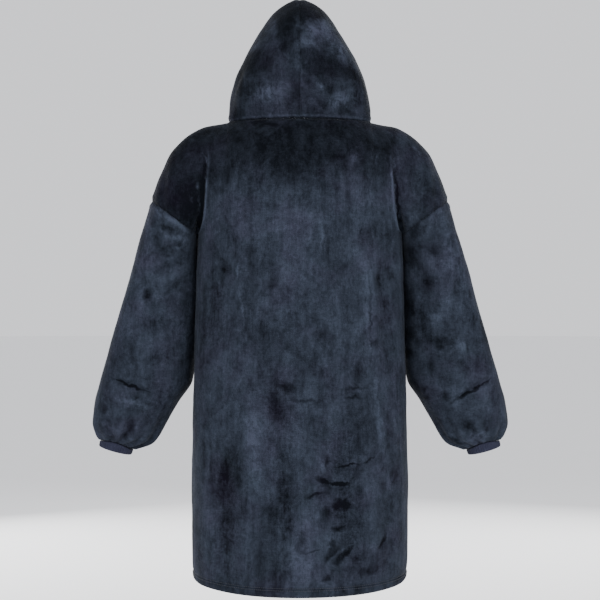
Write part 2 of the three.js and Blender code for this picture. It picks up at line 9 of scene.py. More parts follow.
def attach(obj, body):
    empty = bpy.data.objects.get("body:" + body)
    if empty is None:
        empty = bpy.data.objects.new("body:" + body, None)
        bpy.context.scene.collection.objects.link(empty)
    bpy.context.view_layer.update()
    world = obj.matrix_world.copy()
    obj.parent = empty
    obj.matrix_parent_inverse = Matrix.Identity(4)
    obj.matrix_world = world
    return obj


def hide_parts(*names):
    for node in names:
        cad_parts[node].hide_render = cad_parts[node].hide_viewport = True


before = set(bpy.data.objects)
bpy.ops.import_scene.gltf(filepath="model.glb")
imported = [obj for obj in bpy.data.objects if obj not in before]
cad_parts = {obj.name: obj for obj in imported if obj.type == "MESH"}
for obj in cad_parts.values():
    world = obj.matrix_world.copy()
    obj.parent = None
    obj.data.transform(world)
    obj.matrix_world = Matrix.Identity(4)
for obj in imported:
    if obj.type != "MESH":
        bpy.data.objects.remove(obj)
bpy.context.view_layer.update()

MM = 0.001
SIDES = {"left": 1, "right": -1}


def table(columns, *rows):
    """Rows of values, each under its column's name."""
    return [dict(zip(columns.split(), row)) for row in rows]


# The garment's form, as its solids have it.
WALL = 3
CUFF_WALL = 2.5
BODY_LEVELS = table(
    "z half back front square",
    (-902, 212, 193, 184, 2),
    (-870, 214, 191, 182, 2.05),
    (-790, 215, 186, 178, 2.15),
    (-650, 214, 176, 170, 2.15),
    (-510, 212, 165, 160, 2.15),
    (-410, 209, 156, 151, 2.15),
    (-310, 206, 147, 144, 2.15),
    (-214, 204, 141, 138, 2.15),
    (-110, 205, 137, 134, 2.15),
    (12, 206, 132, 130, 2.15),
)
HEM_Z = BODY_LEVELS[0]["z"]
HEM_DEPTH = 18
HEM_SIDE_LIFT = 4
HEM_LIFT_REACH = 160
UNDERARM = dict(x=204, z=-214)
ARMHOLE_TOP = dict(x=296, z=-146)
ARM_DEPTH = dict(back=72, front=76)
ARM_ROUNDING = 55
CREASE_BLEND = dict(size=26, reach=60)
ARM_INNER = table(
    "z x",
    (-214, 204),
    (-180, 184),
    (-146, 165),
    (-60, 124),
    (12, 100),
)
SHOULDER_LINE = table(
    "x z",
    (142, 9),
    (160, 6),
    (176, 3.6),
    (190, 0.5),
    (210, -9),
    (228, -21),
    (244, -36),
    (259, -54),
    (273, -84),
    (283, -107),
    (296, -146),
)
CREASE_LINE = table(
    "z x",
    (-214, 204),
    (-200, 196),
    (-170, 190),
    (-112, 184),
    (-71, 181),
    (-42, 185),
    (0.5, 190),
)
TOP_REACH = table(
    "x reach",
    (0, 135),
    (142, 105),
    (220, 84),
    (296, 64),
)
NECK = dict(half=142, back=85, front=122, back_z=11, side_z=9, front_z=-62, front_curve=1.6)
ROUND = 0.5
SLEEVE_RINGS = table(
    "along out_x out_y out_z in_x in_y in_z deep square",
    (0, 296, 0, -146, 204, 0, -214, 72, 2),
    (0.1, 309, -3, -188, 205.5, -18, -252, 74, 2.1),
    (0.22, 323, -8, -236, 204.5, -36, -296, 76, 2.2),
    (0.38, 345, -14, -310, 205, -44, -352, 78, 2.2),
    (0.54, 369, -20, -392, 208, -46, -416, 80, 2.2),
    (0.68, 389, -25, -460, 212, -46, -466, 82, 2.2),
    (0.78, 403, -30, -508, 218.5, -44, -507, 82, 2.2),
    (0.86, 414, -33, -549, 244, -42, -547, 80, 2.2),
    (0.93, 420, -36, -591, 269, -41, -591, 70, 2.1),
    (0.97, 413, -38, -614, 296, -41, -631, 55, 2),
    (1, 404, -39, -628, 338, -41, -647, 36, 2),
)
ARMHOLE_FADE = 0.24
GATHER_FROM = 0.86
WRIST_ARCH = 7
CUFF = dict(length=10.5, flare=0.98, rib=0.55, rounding=0.9, rows=14, gap=0.3, inset=5.6, tuck=4)
HOOD_SECTIONS = table(
    "seam_y seam_z side_x side_y side_z round",
    (85, 11, 142, 0, 9, 2),
    (99, 54, 141, -6, 48, 2),
    (106, 101, 131, -10, 92, 2),
    (104, 147, 115, -16, 129, 1.95),
    (90, 191, 98, -26, 160, 1.85),
    (61, 228, 84, -42, 183, 1.75),
    (17, 253, 73, -62, 200, 1.7),
    (-40, 262, 64, -88, 210, 1.65),
    (-86, 257, 55, -110, 212, 1.65),
    (-122, 245, 47, -129.5, 206, 1.6),
)
HOOD_FACE = table(
    "edge_x edge_y edge_z",
    (3, -122, -62),
    (50, -140, -28),
    (78, -150, 12),
    (90, -155, 54),
    (92, -155, 92),
    (85, -150, 124),
    (76, -145, 150),
    (67, -139, 171),
    (58, -135, 187),
    (50, -131, 199),
)
# Columns counted from the centre of a body panel, where its neck seam and its armpit crease end.
NECK_COLUMN, CREASE_COLUMN, LAST_COLUMN = 7, 10, 15
SHOULDER_SPREAD = 1.4
SQUEEZE = dict(share=0.07, reach=170)

# How finely each piece is divided.
PANEL = dict(back=dict(half=84, below=140, above=84), front=dict(half=64, below=100, above=60))
HEM_ROWS = 14
SLEEVE = dict(around=144, rings=132)
HOOD = dict(rows=96, columns=96)
CUFF_RIBS = 42
RIB_STEPS = 6

# Creases and ridges, placed on a piece as it is seen from its own side. x runs out from the centre line to
# the wearer's left, bow bends the line, depth is how far it sinks (below 0 it stands up), and rim is the
# share of that by which the cloth stands up beside it.
BODY_CREASES = table(
    "side x0 z0 x1 z1 bow half depth rim",
    ("back", -128, -226, -148, -512, 7, 11, -3.2, 0),
    ("back", -150, -240, -166, -500, 6, 13, 4.6, 0.2),
    ("back", 104, -232, 100, -372, -3, 9, 3.4, 0.35),
    ("back", 150, -250, 160, -470, -6, 16, 4, 0.2),
    ("back", 46, -440, 34, -900, 8, 24, 4.5, 0.25),
    ("back", -84, -560, -112, -905, -8, 26, 5.5, 0.3),
    ("back", 140, -600, 152, -905, 5, 22, 5, 0.25),
    ("back", -168, -640, -164, -905, 4, 18, 4, 0.25),
    ("back", 22, -505, -78, -512, 5, 5, 1.3, 0.5),
    ("back", -20, -530, -128, -522, -4, 6, 1.6, 0.5),
    ("back", -31, -676, -97, -692, -8, 6, 2.4, 0.6),
    ("back", -4, -718, -44, -706, 3, 5, 1.8, 0.6),
    ("back", -46, -744, -92, -750, 4, 8, 2.4, 0.4),
    ("back", -50, -838, -80, -801, -4, 6, 2.2, 0.5),
    ("back", -62, -843, -103, -816, 3, 5, 1.8, 0.5),
    ("back", -148, -824, -167, -801, 2, 5, 1.6, 0.5),
    ("back", -168, -272, -188, -314, 3, 7, 2.4, 0.4),
    ("back", -146, -420, -154, -436, 1, 5, 1.6, 0.4),
    ("back", 176, -226, 120, -300, -9, 10, 3, 0.4),
    ("back", -184, -232, -140, -322, 8, 10, 2.6, 0.4),
    ("back", 70, -22, 86, -96, 5, 9, 1.8, 0.4),
    ("back", -58, -24, -92, -104, -5, 10, 1.6, 0.4),
    ("front", 66, -30, 122, -168, -8, 13, 4, 0.4),
    ("front", -72, -36, -118, -180, 9, 12, 4.4, 0.4),
    ("front", 178, -226, 96, -352, -10, 12, 4, 0.4),
    ("front", -180, -230, -106, -330, 9, 11, 3.6, 0.4),
    ("front", 118, -330, 128, -905, 8, 24, 6.5, 0.3),
    ("front", -24, -430, -12, -905, -8, 28, 5.5, 0.3),
    ("front", -134, -380, -146, -905, -6, 22, 6, 0.3),
    ("front", 52, -560, 66, -905, 4, 18, 4, 0.3),
    ("front", 60, -488, -32, -502, 6, 7, 2, 0.5),
    ("front", -48, -540, -112, -532, -4, 6, 1.8, 0.5),
)
# The same on a sleeve, with x out from the body on either hand.
SLEEVE_CREASES = table(
    "hand side x0 z0 x1 z1 bow half depth rim",
    ("left", "back", 388, -497, 284, -531, 4, 4.5, 2.8, 0.5),
    ("left", "back", 376, -540, 296, -562, -4, 8, 2.6, 0.4),
    ("left", "front", 372, -508, 292, -522, -6, 6, 4, 0.4),
    ("left", "back", 326, -574, 357, -624, 5, 8, 3.4, 0.5),
    ("left", "back", 374, -566, 386, -618, -3, 7, 3, 0.5),
    ("left", "back", 216, -232, 286, -246, 5, 8, 4.4, 0.5),
    ("left", "back", 214, -250, 296, -296, 7, 9, 4, 0.5),
    ("left", "back", 214, -276, 276, -352, 6, 10, 3.4, 0.4),
    ("left", "back", 306, -320, 298, -352, 2, 7, 2.4, 0.4),
    ("left", "back", 250, -380, 330, -404, -6, 12, 2.6, 0.3),
    ("left", "back", 236, -436, 318, -470, 6, 12, 2.8, 0.3),
    ("left", "front", 216, -234, 290, -262, 6, 9, 5, 0.5),
    ("left", "front", 216, -262, 286, -340, 7, 10, 4.5, 0.4),
    ("left", "front", 240, -404, 330, -438, -7, 11, 4, 0.4),
    ("left", "front", 330, -574, 352, -622, -4, 8, 4, 0.5),
    ("right", "back", 392, -495, 288, -551, 4, 4.5, 4, 0.5),
    ("right", "front", 382, -500, 300, -536, 6, 6, 4, 0.4),
    ("right", "back", 390, -536, 322, -577, -4, 8, 3.4, 0.45),
    ("right", "back", 334, -580, 362, -624, 4, 7, 4, 0.5),
    ("right", "back", 216, -234, 278, -256, 4, 8, 3.8, 0.5),
    ("right", "back", 214, -254, 272, -318, 6, 10, 3.6, 0.4),
    ("right", "back", 232, -330, 246, -440, -5, 13, 3.6, 0.3),
    ("right", "back", 262, -400, 352, -440, 7, 12, 2.6, 0.3),
    ("right", "front", 216, -236, 284, -270, 5, 9, 5, 0.5),
    ("right", "front", 220, -270, 280, -350, -6, 11, 4.2, 0.4),
    ("right", "front", 250, -420, 344, -446, 6, 11, 3.6, 0.4),
    ("right", "front", 326, -578, 350, -624, 4, 8, 4, 0.5),
)
# On a hood half, where s runs from the neck seam up to the crown and a from the centre seam to the face.
HOOD_CREASES = table(
    "hand s0 a0 s1 a1 half depth",
    ("left", 0.04, 0.10, 0.20, 0.30, 0.035, 2.6),
    ("left", 0.05, 0.42, 0.30, 0.34, 0.045, 3),
    ("left", 0.32, 0.55, 0.62, 0.72, 0.05, 3.4),
    ("left", 0.06, 0.66, 0.34, 0.80, 0.05, 3.6),
    ("right", 0.04, 0.14, 0.16, 0.34, 0.035, 2.4),
    ("right", 0.06, 0.46, 0.36, 0.40, 0.05, 2.8),
    ("right", 0.38, 0.58, 0.60, 0.78, 0.05, 3.4),
    ("right", 0.05, 0.70, 0.30, 0.84, 0.05, 3.6),
)
# Besides the crease's sink and ridge, the last two entries paint a highlight along the ridge beside each
# armpit crease: how much, and over what half width.
ARMPIT = dict(
    sink=4.5, out=4, half=4.5, ridge=2.4, ridge_in=4, ridge_half=3.5, top=-30, fade=60, low_fade=14,
    painted_ridge_highlight=0.7, painted_ridge_highlight_half=2.4,
)

# Where the upper body is darker, partly as its pile lies downwards and partly as painted shade where it tilts
# away
# from the light: between the armpit creases down to a height, and beyond the creases on the wearer's left and
# right.
NAP_AND_SHADE_ZONES = dict(
    back=dict(middle=-0.72, left=-0.8, right=-0.34, down_to=-104, soft=84, uneven=9),
    front=dict(middle=-0.45, left=-0.35, right=-0.6, down_to=-130, soft=90, uneven=12),
)
# The hood is darker all over, partly its own tone and partly painted shade that evens out the stronger light
# on it; painted shade darkens it more from top_from up, and a painted highlight runs along a line just above
# the neck seam.
HOOD_TONE_AND_PAINTED_LIGHT = dict(all=-0.37, top=-0.25, top_from=185, line=0.6, line_up=4, line_half=3)
HEM_NAP = -0.2
SHOWN_IN_FRONT = 0.35  # how much of a sleeve's or a hood's marks its front has

# Marks in the pile, seen from behind: from x0, z0 to x1, z1, with the reach to either side and a tone
# that is darker below 0 and lighter above it. Most are the pile's own brushed marks, but dark rows that lie
# in creases paint shade in them, and light rows beside the armpit creases paint a highlight on their ridges.
MARK_COLUMNS = "x0 z0 x1 z1 reach tone"
MARKS = dict(
    hood_left=table(
        MARK_COLUMNS,
        (44, 218, 4, 236, 14, -0.7),
        (28, 232, 26, 140, 14, -0.8),
        (56, 178, 44, 202, 11, 0.2),
        (96, 146, 78, 170, 8, 0.2),
        (105, 116, 66, 118, 20, -0.7),
        (100, 50, 24, 64, 17, 0.4),
        (120, 54, 116, 86, 8, -0.35),
        (9, 96, 9, 22, 11, -0.25),
        (0, 60, 0, 230, 5, 0.2),
        (3, 242, 3, 230, 4, 0.5),
    ),
    hood_right=table(
        MARK_COLUMNS,
        (-44, 218, -4, 236, 14, -0.7),
        (-5, 150, -60, 205, 20, 0.5),
        (-50, 190, -108, 105, 16, 0.45),
        (-10, 135, -36, 100, 17, -1.0),
        (-11, 118, -11, 114, 3, 0.5),
        (-5, 226, -5, 202, 12, -0.7),
        (-39, 184, -39, 180, 4, -0.4),
        (-31, 166, -31, 160, 6, -0.4),
        (-40, 118, -88, 100, 18, -0.45),
        (-88, 108, -122, 88, 8, -0.7),
        (-34, 70, -40, 70, 7, 0.35),
        (-12, 86, -22, 66, 8, -0.25),
        (-49, 30, -120, 64, 14, 0.6),
        (-88, 24, -107, 20, 6, -0.25),
        (0, 60, 0, 230, 5, 0.2),
    ),
    back=table(
        MARK_COLUMNS,
        (18, 6, -12, 6, 3.5, 0.35),
        # Light rows down to the next comment's place paint a highlight on the ridges beside the armpit
        # creases, and the dark ones paint shade in them.
        (202, -110, 196, -136, 3, 0.6),
        (196, -136, 199, -188, 3, 0.5),
        (214, -133, 210, -168, 3, 0.5),
        (207, -193, 207, -197, 4, 0.4),
        (188, -58, 182, -80, 2.5, 0.5),
        (182, -80, 183, -131, 2.5, 0.6),
        (183, -131, 190, -195, 2.2, 0.5),
        (187, -131, 194, -205, 2.2, -0.6),
        (-184, -62, -180, -90, 2.5, 0.3),
        (-180, -90, -184, -140, 2.5, 0.5),
        (-184, -140, -191, -200, 2.2, 0.5),
        (-188, -100, -195, -205, 2.4, -0.6),
        (214, -26, 214, -30, 5, 0.3),
        (-96, -68, -108, -68, 15, 0.25),
        (-145, -60, -145, -84, 7, 0.3),
        (-25, -73, -95, -66, 4, -0.3),
        (-20, -122, -80, -128, 9, -0.25),
        (-160, -8, -195, -28, 4, 0.3),
        (-222, -38, -238, -58, 4, 0.35),
        (-245, -112, -232, -150, 4, 0.25),
        (-252, -125, -276, -140, 8, -0.2),
        (-206, -180, -218, -190, 14, 0.25),
        (118, -265, 118, -306, 3, 0.5),
        (118, -306, 100, -440, 2.5, 0.35),
        (98, -240, 90, -250, 11, -0.35),
        (-43, -180, -43, -259, 5, 0.4),
        (-117, -203, -117, -222, 2, -0.4),
        (-127, -234, -132, -500, 12, 0.25),
        (-133, -240, -138, -500, 2.5, -0.4),
        (-143, -420, -143, -432, 7, -0.5),
        (-174, -284, -184, -306, 8, -0.35),
        (190, -300, 186, -360, 6, -0.25),
        (188, -390, 184, -435, 5, -0.25),
        (-78, -511, -132, -511, 3, -0.4),
        (22, -534, -44, -534, 4, -0.35),
        (-74, -530, -132, -530, 3, -0.3),
        (50, -500, 11, -515, 9, -0.45),
        (42, -523, 42, -581, 15, -0.2),
        (-112, -466, -108, -500, 9, -0.4),
        (-105, -545, -105, -625, 24, -0.18),
        (122, -560, 120, -690, 12, -0.2),
        (82, -560, 88, -720, 12, 0.2),
        (136, -617, 158, -723, 6, -0.25),
        # Several dark rows from here on lie in the troughs of the lower back's creases and paint shade there.
        (-30, -674, -55, -691, 4, -0.8),
        (-55, -691, -98, -691, 3.5, -0.8),
        (-8, -715, -47, -704, 3.5, -0.8),
        (-61, -659, -119, -655, 2.5, -0.6),
        (-119, -655, -144, -640, 2.5, -0.6),
        (-52, -638, -52, -654, 5, -0.7),
        (-42, -661, -46, -661, 6, 0.4),
        (-46, -744, -52, -750, 11, -0.7),
        (-62, -727, -96, -733, 9, -0.8),
        (-60, -773, -82, -773, 5, -0.5),
        (-60, -799, -64, -803, 7, -0.7),
        (-47, -834, -70, -806, 6, -0.8),
        (-63, -840, -98, -810, 5.5, -0.7),
        (-151, -815, -164, -800, 5, -0.6),
        (-119, -862, -147, -853, 8, -0.5),
        (0, -821, -44, -810, 2.5, -0.4),
        (-48, -866, -54, -866, 7, -0.6),
        (84, -730, 40, -745, 14, -0.3),
        (70, -760, 70, -880, 22, -0.25),
        (0, -740, -5, -870, 32, 0.18),
        (-140, -457, -162, -663, 5, 0.3),
        (-162, -663, -180, -721, 6, 0.25),
    ),
    front=table(
        MARK_COLUMNS,
        (150, -240, 168, -420, 7, 0.3),
        (-96, -250, -104, -430, 4, 0.35),
        (60, -210, 52, -300, 8, -0.3),
        (-40, -330, -52, -520, 12, 0.2),
        (96, -480, 30, -498, 4, -0.4),
        (-60, -545, -128, -536, 4, -0.35),
        (70, -620, 20, -640, 6, -0.5),
        (112, -660, 120, -790, 14, -0.3),
        (-84, -690, -120, -706, 5, -0.6),
        (-40, -730, -70, -752, 9, -0.5),
        (20, -770, -26, -760, 3, -0.4),
        (-130, -780, -112, -812, 5, -0.5),
        (54, -820, 76, -850, 6, -0.5),
        (-20, -700, -10, -860, 30, 0.18),
    ),
    sleeve_left=table(
        MARK_COLUMNS,
        (284, -165, 210, -214, 5, 0.45),
        (278, -199, 250, -208, 4, -0.45),
        (268, -220, 215, -225, 5, 0.35),
        (281, -212, 281, -236, 10, -0.35),
        (263, -246, 221, -235, 4, 0.3),
        (273, -256, 242, -256, 4, -0.3),
        (288, -172, 286, -205, 8, -0.3),
        (299, -325, 299, -343, 9, -0.6),
        (228, -288, 238, -296, 14, 0.25),
        # This dark row lies in the crease above the wrist and paints shade in it.
        (378, -497, 288, -528, 2.4, -0.6),
        (371, -537, 300, -557, 6, 0.4),
        (320, -535, 326, -535, 4, -0.4),
        (252, -539, 262, -539, 5, -0.25),
        (389, -552, 389, -568, 6, -0.4),
        (397, -584, 397, -600, 4, -0.4),
        (353, -578, 359, -578, 6, -0.25),
        (328, -582, 351, -622, 6, -0.2),
        (369, -442, 372, -498, 6, -0.25),
    ),
    sleeve_right=table(
        MARK_COLUMNS,
        (-264, -165, -272, -169, 8, 0.35),
        # The dark rows at x -217 to -222 paint shade on the sleeve's inner side, next to the body.
        (-218, -230, -222, -275, 12, -0.5),
        (-250, -225, -275, -255, 14, -0.3),
        (-247, -308, -255, -320, 14, -0.4),
        (-217, -330, -217, -385, 10, -0.45),
        (-290, -205, -318, -305, 26, 0.2),
        (-255, -376, -285, -376, 8, 0.25),
        (-335, -320, -337, -345, 4, -0.25),
        # This dark row lies in the crease above the wrist and paints shade in it.
        (-388, -496, -292, -550, 3, -0.85),
        (-245, -521, -251, -521, 5, -0.5),
        (-244, -541, -260, -541, 3.5, -0.5),
        (-285, -533, -293, -533, 8, -0.4),
        (-217, -405, -217, -425, 10, -0.5),
        (-218, -446, -222, -454, 9, -0.6),
        (-245, -425, -280, -425, 8, -0.35),
        (-270, -437, -284, -437, 4, -0.45),
        (-258, -460, -258, -486, 9, -0.25),
        (-312, -466, -320, -470, 7, -0.3),
        (-310, -433, -320, -437, 12, 0.35),
        (-330, -540, -362, -540, 9, -0.15),
        (-362, -578, -384, -590, 16, -0.22),
        (-310, -592, -342, -592, 8, -0.3),
        (-296, -617, -330, -634, 4, -0.5),
        (-340, -612, -376, -612, 8, 0.3),
    ),
)

WAVES = table("size height", (95, 1.5), (38, 0.7), (15, 0.25))
# Creases and waves fade out over these lengths towards a panel's top and sides, and a hood's and a sleeve's
# seams.
FADE = dict(crease_top=16, crease_side=10, wave_top=20, wave_side=14, sleeve_crease=8, wrist=30)
SEAM = dict(neck=2.6, shoulder=1.4, armhole=2.2, side=0.8, crown=1.3, half=4, roll=0.5, reach=12)
NECK_RISE = 0.7  # how far the neck seam's wall leans in between the shoulder and the hood
NECK_BLUR = dict(columns=12, reach=30, below=8, clear=60)
UNDERARM_CALM = 26  # seams sink less within this reach of the underarm, so that its pieces stay together
STITCH = dict(long=3.4, gap=0.9, thread=1.1, raised=0.15, rows_apart=3)
HEM = dict(sink=1.5, half=2.2, puff=1, curl=2.6, curl_reach=5)
GATHERS = dict(count=13, height=2.4, drift=0.6, end=1.5, end_reach=9, sink=1.6, half=3.5)
# Side seams are a little uneven, and their two edges all but touch.
WANDER = dict(wide=0.6, left=40, right=55, reach=24, below=60, gap=0.002)


def mix(a, b, share):
    return a + (b - a) * share


def ease(share):
    share = np.clip(share, 0, 1)
    return share * share * (3 - 2 * share)


def bell(off, half):
    return np.exp(-((off / half) ** 2))


def track(rows, by, column):
    """A smooth function through one column of a table, with no overshoot between its rows."""
    at = np.array([row[by] for row in rows], float)
    value = np.array([row[column] for row in rows], float)
    rise = np.diff(value) / np.diff(at)
    slope = np.zeros(len(at))
    slope[0], slope[-1] = rise[0], rise[-1]
    before, after = rise[:-1], rise[1:]
    same = before * after > 0
    slope[1:-1][same] = 2 * before[same] * after[same] / (before[same] + after[same])

    def read(where):
        x = np.clip(where, at[0], at[-1])
        k = np.clip(np.searchsorted(at, x, side="right") - 1, 0, len(at) - 2)
        step = at[k + 1] - at[k]
        t = (x - at[k]) / step
        near = (1 + 2 * t) * (1 - t) ** 2 * value[k] + t * (1 - t) ** 2 * step * slope[k]
        far = t * t * (3 - 2 * t) * value[k + 1] + t * t * (t - 1) * step * slope[k + 1]
        return near + far

    return read


def tracks(rows, by):
    return {key: track(rows, by, key) for key in rows[0] if key != by}


body_at = tracks(BODY_LEVELS, "z")
arm_inner_at = track(ARM_INNER, "z", "x")
crease_at = track(CREASE_LINE, "z", "x")
shoulder_z = track(SHOULDER_LINE, "x", "z")
top_reach = track(TOP_REACH, "x", "reach")
sleeve_at = tracks(SLEEVE_RINGS, "along")
hood_rows = [dict(section=k, **a, **b) for k, (a, b) in enumerate(zip(HOOD_SECTIONS, HOOD_FACE))]
hood_at = tracks(hood_rows, "section")


def neck_point(turn):
    """A point of the neck seam: turn 0 is the centre back, a quarter the shoulder, a half the front."""
    c = np.cos(turn * 2 * math.pi)
    y = c * np.where(c > 0, NECK["back"], NECK["front"])
    behind = mix(NECK["side_z"], NECK["back_z"], c * c)
    before = mix(NECK["side_z"], NECK["front_z"], np.maximum(-c, 0) ** NECK["front_curve"])
    return NECK["half"] * np.sin(turn * 2 * math.pi), y, np.where(c > 0, behind, before)


def smooth_max(a, b, blend):
    near = np.maximum(blend - np.abs(a - b), 0)
    return np.maximum(a, b) + np.where(blend > 0, near * near / (4 * np.maximum(blend, 1e-9)), 0)


def upper_depth(x, z, side):
    """Depth of the cloth from the plane of the side seams at a place of the upper body."""
    square = body_at["square"](z)
    across = np.clip(x / body_at["half"](z), 0, 1)
    torso = body_at[side](z) * (1 - across**square) ** (1 / square)
    inward = np.clip(1 - (x - arm_inner_at(z)) / ARM_ROUNDING, 0, 1)
    arm = ARM_DEPTH[side] * np.sqrt(1 - inward * inward)
    blend = CREASE_BLEND["size"] * np.clip((z - UNDERARM["z"]) / CREASE_BLEND["reach"], 0, 1)
    full = smooth_max(torso, arm, blend)
    on_neck = x < NECK["half"]
    quarter = np.arcsin(np.clip(x / NECK["half"], 0, 1)) / (2 * math.pi)
    _, neck_y, neck_z = neck_point(quarter if side == "back" else 0.5 - quarter)
    edge_y = np.where(on_neck, np.abs(neck_y), 0)
    edge_z = np.where(on_neck, neck_z, shoulder_z(x))
    after = np.minimum(x + 1, ARMHOLE_TOP["x"])
    slope = np.where(on_neck, 0, (shoulder_z(x + 1) - shoulder_z(x - 1)) / (after - x + 1))
    power = np.where(on_neck, 1 - (1 - ROUND) * (x / NECK["half"]) ** 2, ROUND)
    fallen = np.clip((edge_z - z) / np.hypot(1, slope) / top_reach(x), 0, 1)
    return edge_y + (full - edge_y) * (1 - (1 - fallen) ** 2) ** power


def lower_row(z, j, side):
    """A half row of a body panel below the underarm, at columns j from its centre to the side seam."""
    even = j / LAST_COLUMN
    inner = j / CREASE_COLUMN * (1 - SQUEEZE["share"])
    outer = 1 - SQUEEZE["share"] * (LAST_COLUMN - j) / (LAST_COLUMN - CREASE_COLUMN)
    near = ease(1 - (UNDERARM["z"] - z) / SQUEEZE["reach"])
    angle = mix(even, np.where(j <= CREASE_COLUMN, inner, outer), near) * math.pi / 2
    power = 2 / body_at["square"](z)
    across = np.sin(angle) ** power
    y = np.where(j >= LAST_COLUMN, 0, body_at[side](z) * np.maximum(np.cos(angle), 0) ** power)
    lift = HEM_SIDE_LIFT * across**4 * ease(1 - (z - HEM_Z) / HEM_LIFT_REACH)
    return body_at["half"](z) * across, y, z + lift


def top_row(j, side):
    """The top row of a body panel, along the neck seam and then along the shoulder."""
    quarter = np.clip(j / NECK_COLUMN, 0, 1) * 0.25
    x, y, z = neck_point(quarter if side == "back" else 0.5 - quarter)
    end = CREASE_LINE[-1]["x"]
    to_crease = mix(NECK["half"], end, (j - NECK_COLUMN) / (CREASE_COLUMN - NECK_COLUMN))
    left = np.clip(1 - (j - CREASE_COLUMN) / (LAST_COLUMN - CREASE_COLUMN), 0, 1)
    to_end = mix(end, ARMHOLE_TOP["x"], 1 - left**SHOULDER_SPREAD)
    along = np.where(j <= CREASE_COLUMN, to_crease, to_end)
    shoulder = along, 0, shoulder_z(along)
    return [np.where(j < NECK_COLUMN, a, b) for a, b in zip((x, np.abs(y), z), shoulder)]


def upper_row(rise, j, side):
    """A row between the underarm and the top: its columns keep to their own side of the crease."""
    low_x, _, low_z = lower_row(UNDERARM["z"], j, side)
    high_x, _, high_z = top_row(j, side)
    at_crease = np.array([float(CREASE_COLUMN)])
    crease_low = lower_row(UNDERARM["z"], at_crease, side)[0][0]
    crease_high_x, _, crease_high_z = (part[0] for part in top_row(at_crease, side))
    crease_z = mix(UNDERARM["z"], crease_high_z, rise)
    crease_x = crease_at(crease_z)
    arm_x = mix(UNDERARM["x"], ARMHOLE_TOP["x"], rise)
    arm_z = mix(UNDERARM["z"], ARMHOLE_TOP["z"], rise)
    even = (j - CREASE_COLUMN) / (LAST_COLUMN - CREASE_COLUMN)
    share = mix(even, (high_x - crease_high_x) / (ARMHOLE_TOP["x"] - crease_high_x), rise)
    drop = mix(even, (high_z - crease_high_z) / (ARMHOLE_TOP["z"] - crease_high_z), rise)
    inner_x = crease_x * mix(low_x / crease_low, high_x / crease_high_x, rise)
    x = np.where(j <= CREASE_COLUMN, inner_x, mix(crease_x, arm_x, share))
    z = np.where(j <= CREASE_COLUMN, mix(low_z, high_z, rise), mix(crease_z, arm_z, drop))
    return x, upper_depth(x, z, side), z


def panel_points(side):
    """The outer face of a body panel as a grid of points, from the hem up and from right to left."""
    fine = PANEL[side]
    j = np.linspace(0, LAST_COLUMN, fine["half"] + 1)
    hem_top = HEM_Z + HEM_DEPTH * 1.5
    hem = HEM_Z + (hem_top - HEM_Z) * np.linspace(0, 1, HEM_ROWS + 1)[:-1]
    levels = [*hem, *np.linspace(hem_top, UNDERARM["z"], fine["below"] + 1)]
    even = np.linspace(0, 1, fine["above"] + 1)[1:-1]
    rises = mix((1 - np.cos(even * math.pi)) / 2, even, 0.5)
    rows = [lower_row(z, j, side) for z in levels] + [upper_row(rise, j, side) for rise in rises]
    half = np.array([np.stack(row, -1) for row in [*rows, top_row(j, side)]])
    underarm = len(levels) - 1
    half[underarm:, -1, 0] = mix(UNDERARM["x"], ARMHOLE_TOP["x"], np.array([0, *rises, 1]))
    if side == "front":
        half[..., 1] *= -1
    mirrored = half[:, :0:-1] * [-1, 1, 1]
    return np.concatenate([mirrored, half], 1), underarm


ARMHOLE_LINE = np.array([ARMHOLE_TOP["x"] - UNDERARM["x"], 0, ARMHOLE_TOP["z"] - UNDERARM["z"]], float)
ARMHOLE_LINE /= np.linalg.norm(ARMHOLE_LINE)
ARMHOLE_AXIS = np.array([-ARMHOLE_LINE[2], 0, ARMHOLE_LINE[0]])  # from the left sleeve into the body


def armhole_depth(share, side):
    x = mix(ARMHOLE_TOP["x"], UNDERARM["x"], share)
    z = mix(ARMHOLE_TOP["z"], UNDERARM["z"], share)
    return np.where((share < 1e-9) | (share > 1 - 1e-9), 0, upper_depth(x, z, side))


def ring_frame(along):
    """The middle of a ring of the left sleeve, and the way down the arm out of it."""
    out = np.array([sleeve_at["out_" + c](along) for c in "xyz"])
    inside = np.array([sleeve_at["in_" + c](along) for c in "xyz"])
    across = (out - inside) / np.linalg.norm(out - inside)
    down = np.cross([0, 1, 0], across)
    down /= np.linalg.norm(down)
    return (out + inside) / 2, down * (-1 if down[2] > 0 else 1)


def sleeve_ring(along, turn):
    """A ring of the left sleeve. turn 0 is its outer end, and a half its inner end."""
    share = (1 - np.cos(turn)) / 2
    behind = np.sin(turn) >= 0
    own = sleeve_at["deep"](along) * np.abs(np.sin(turn)) ** (2 / sleeve_at["square"](along))
    fade = ease(1 - along / ARMHOLE_FADE)
    at_hole = np.where(behind, armhole_depth(share, "back"), armhole_depth(share, "front"))
    depth = np.where(behind, 1, -1) * mix(own, at_hole, fade)
    ends = {c: mix(sleeve_at["out_" + c](along), sleeve_at["in_" + c](along), share) for c in "xyz"}
    points = np.stack([ends["x"], ends["y"] + depth, ends["z"]], -1)
    gathered = ease((along - GATHER_FROM) / (1 - GATHER_FROM))
    _, down = ring_frame(along)
    return points - down * (WRIST_ARCH * np.sin(turn) ** 2 * gathered)[:, None]


def sleeve_points(hand):
    turns = np.linspace(0, 2 * math.pi, SLEEVE["around"] + 1)
    turns[-1] = 0
    even = np.linspace(0, 1, SLEEVE["rings"] + 1)
    shares = mix(even, np.sin(even * math.pi / 2), 0.35)
    return np.array([sleeve_ring(along, turns) for along in shares]) * [hand, 1, 1], shares, turns


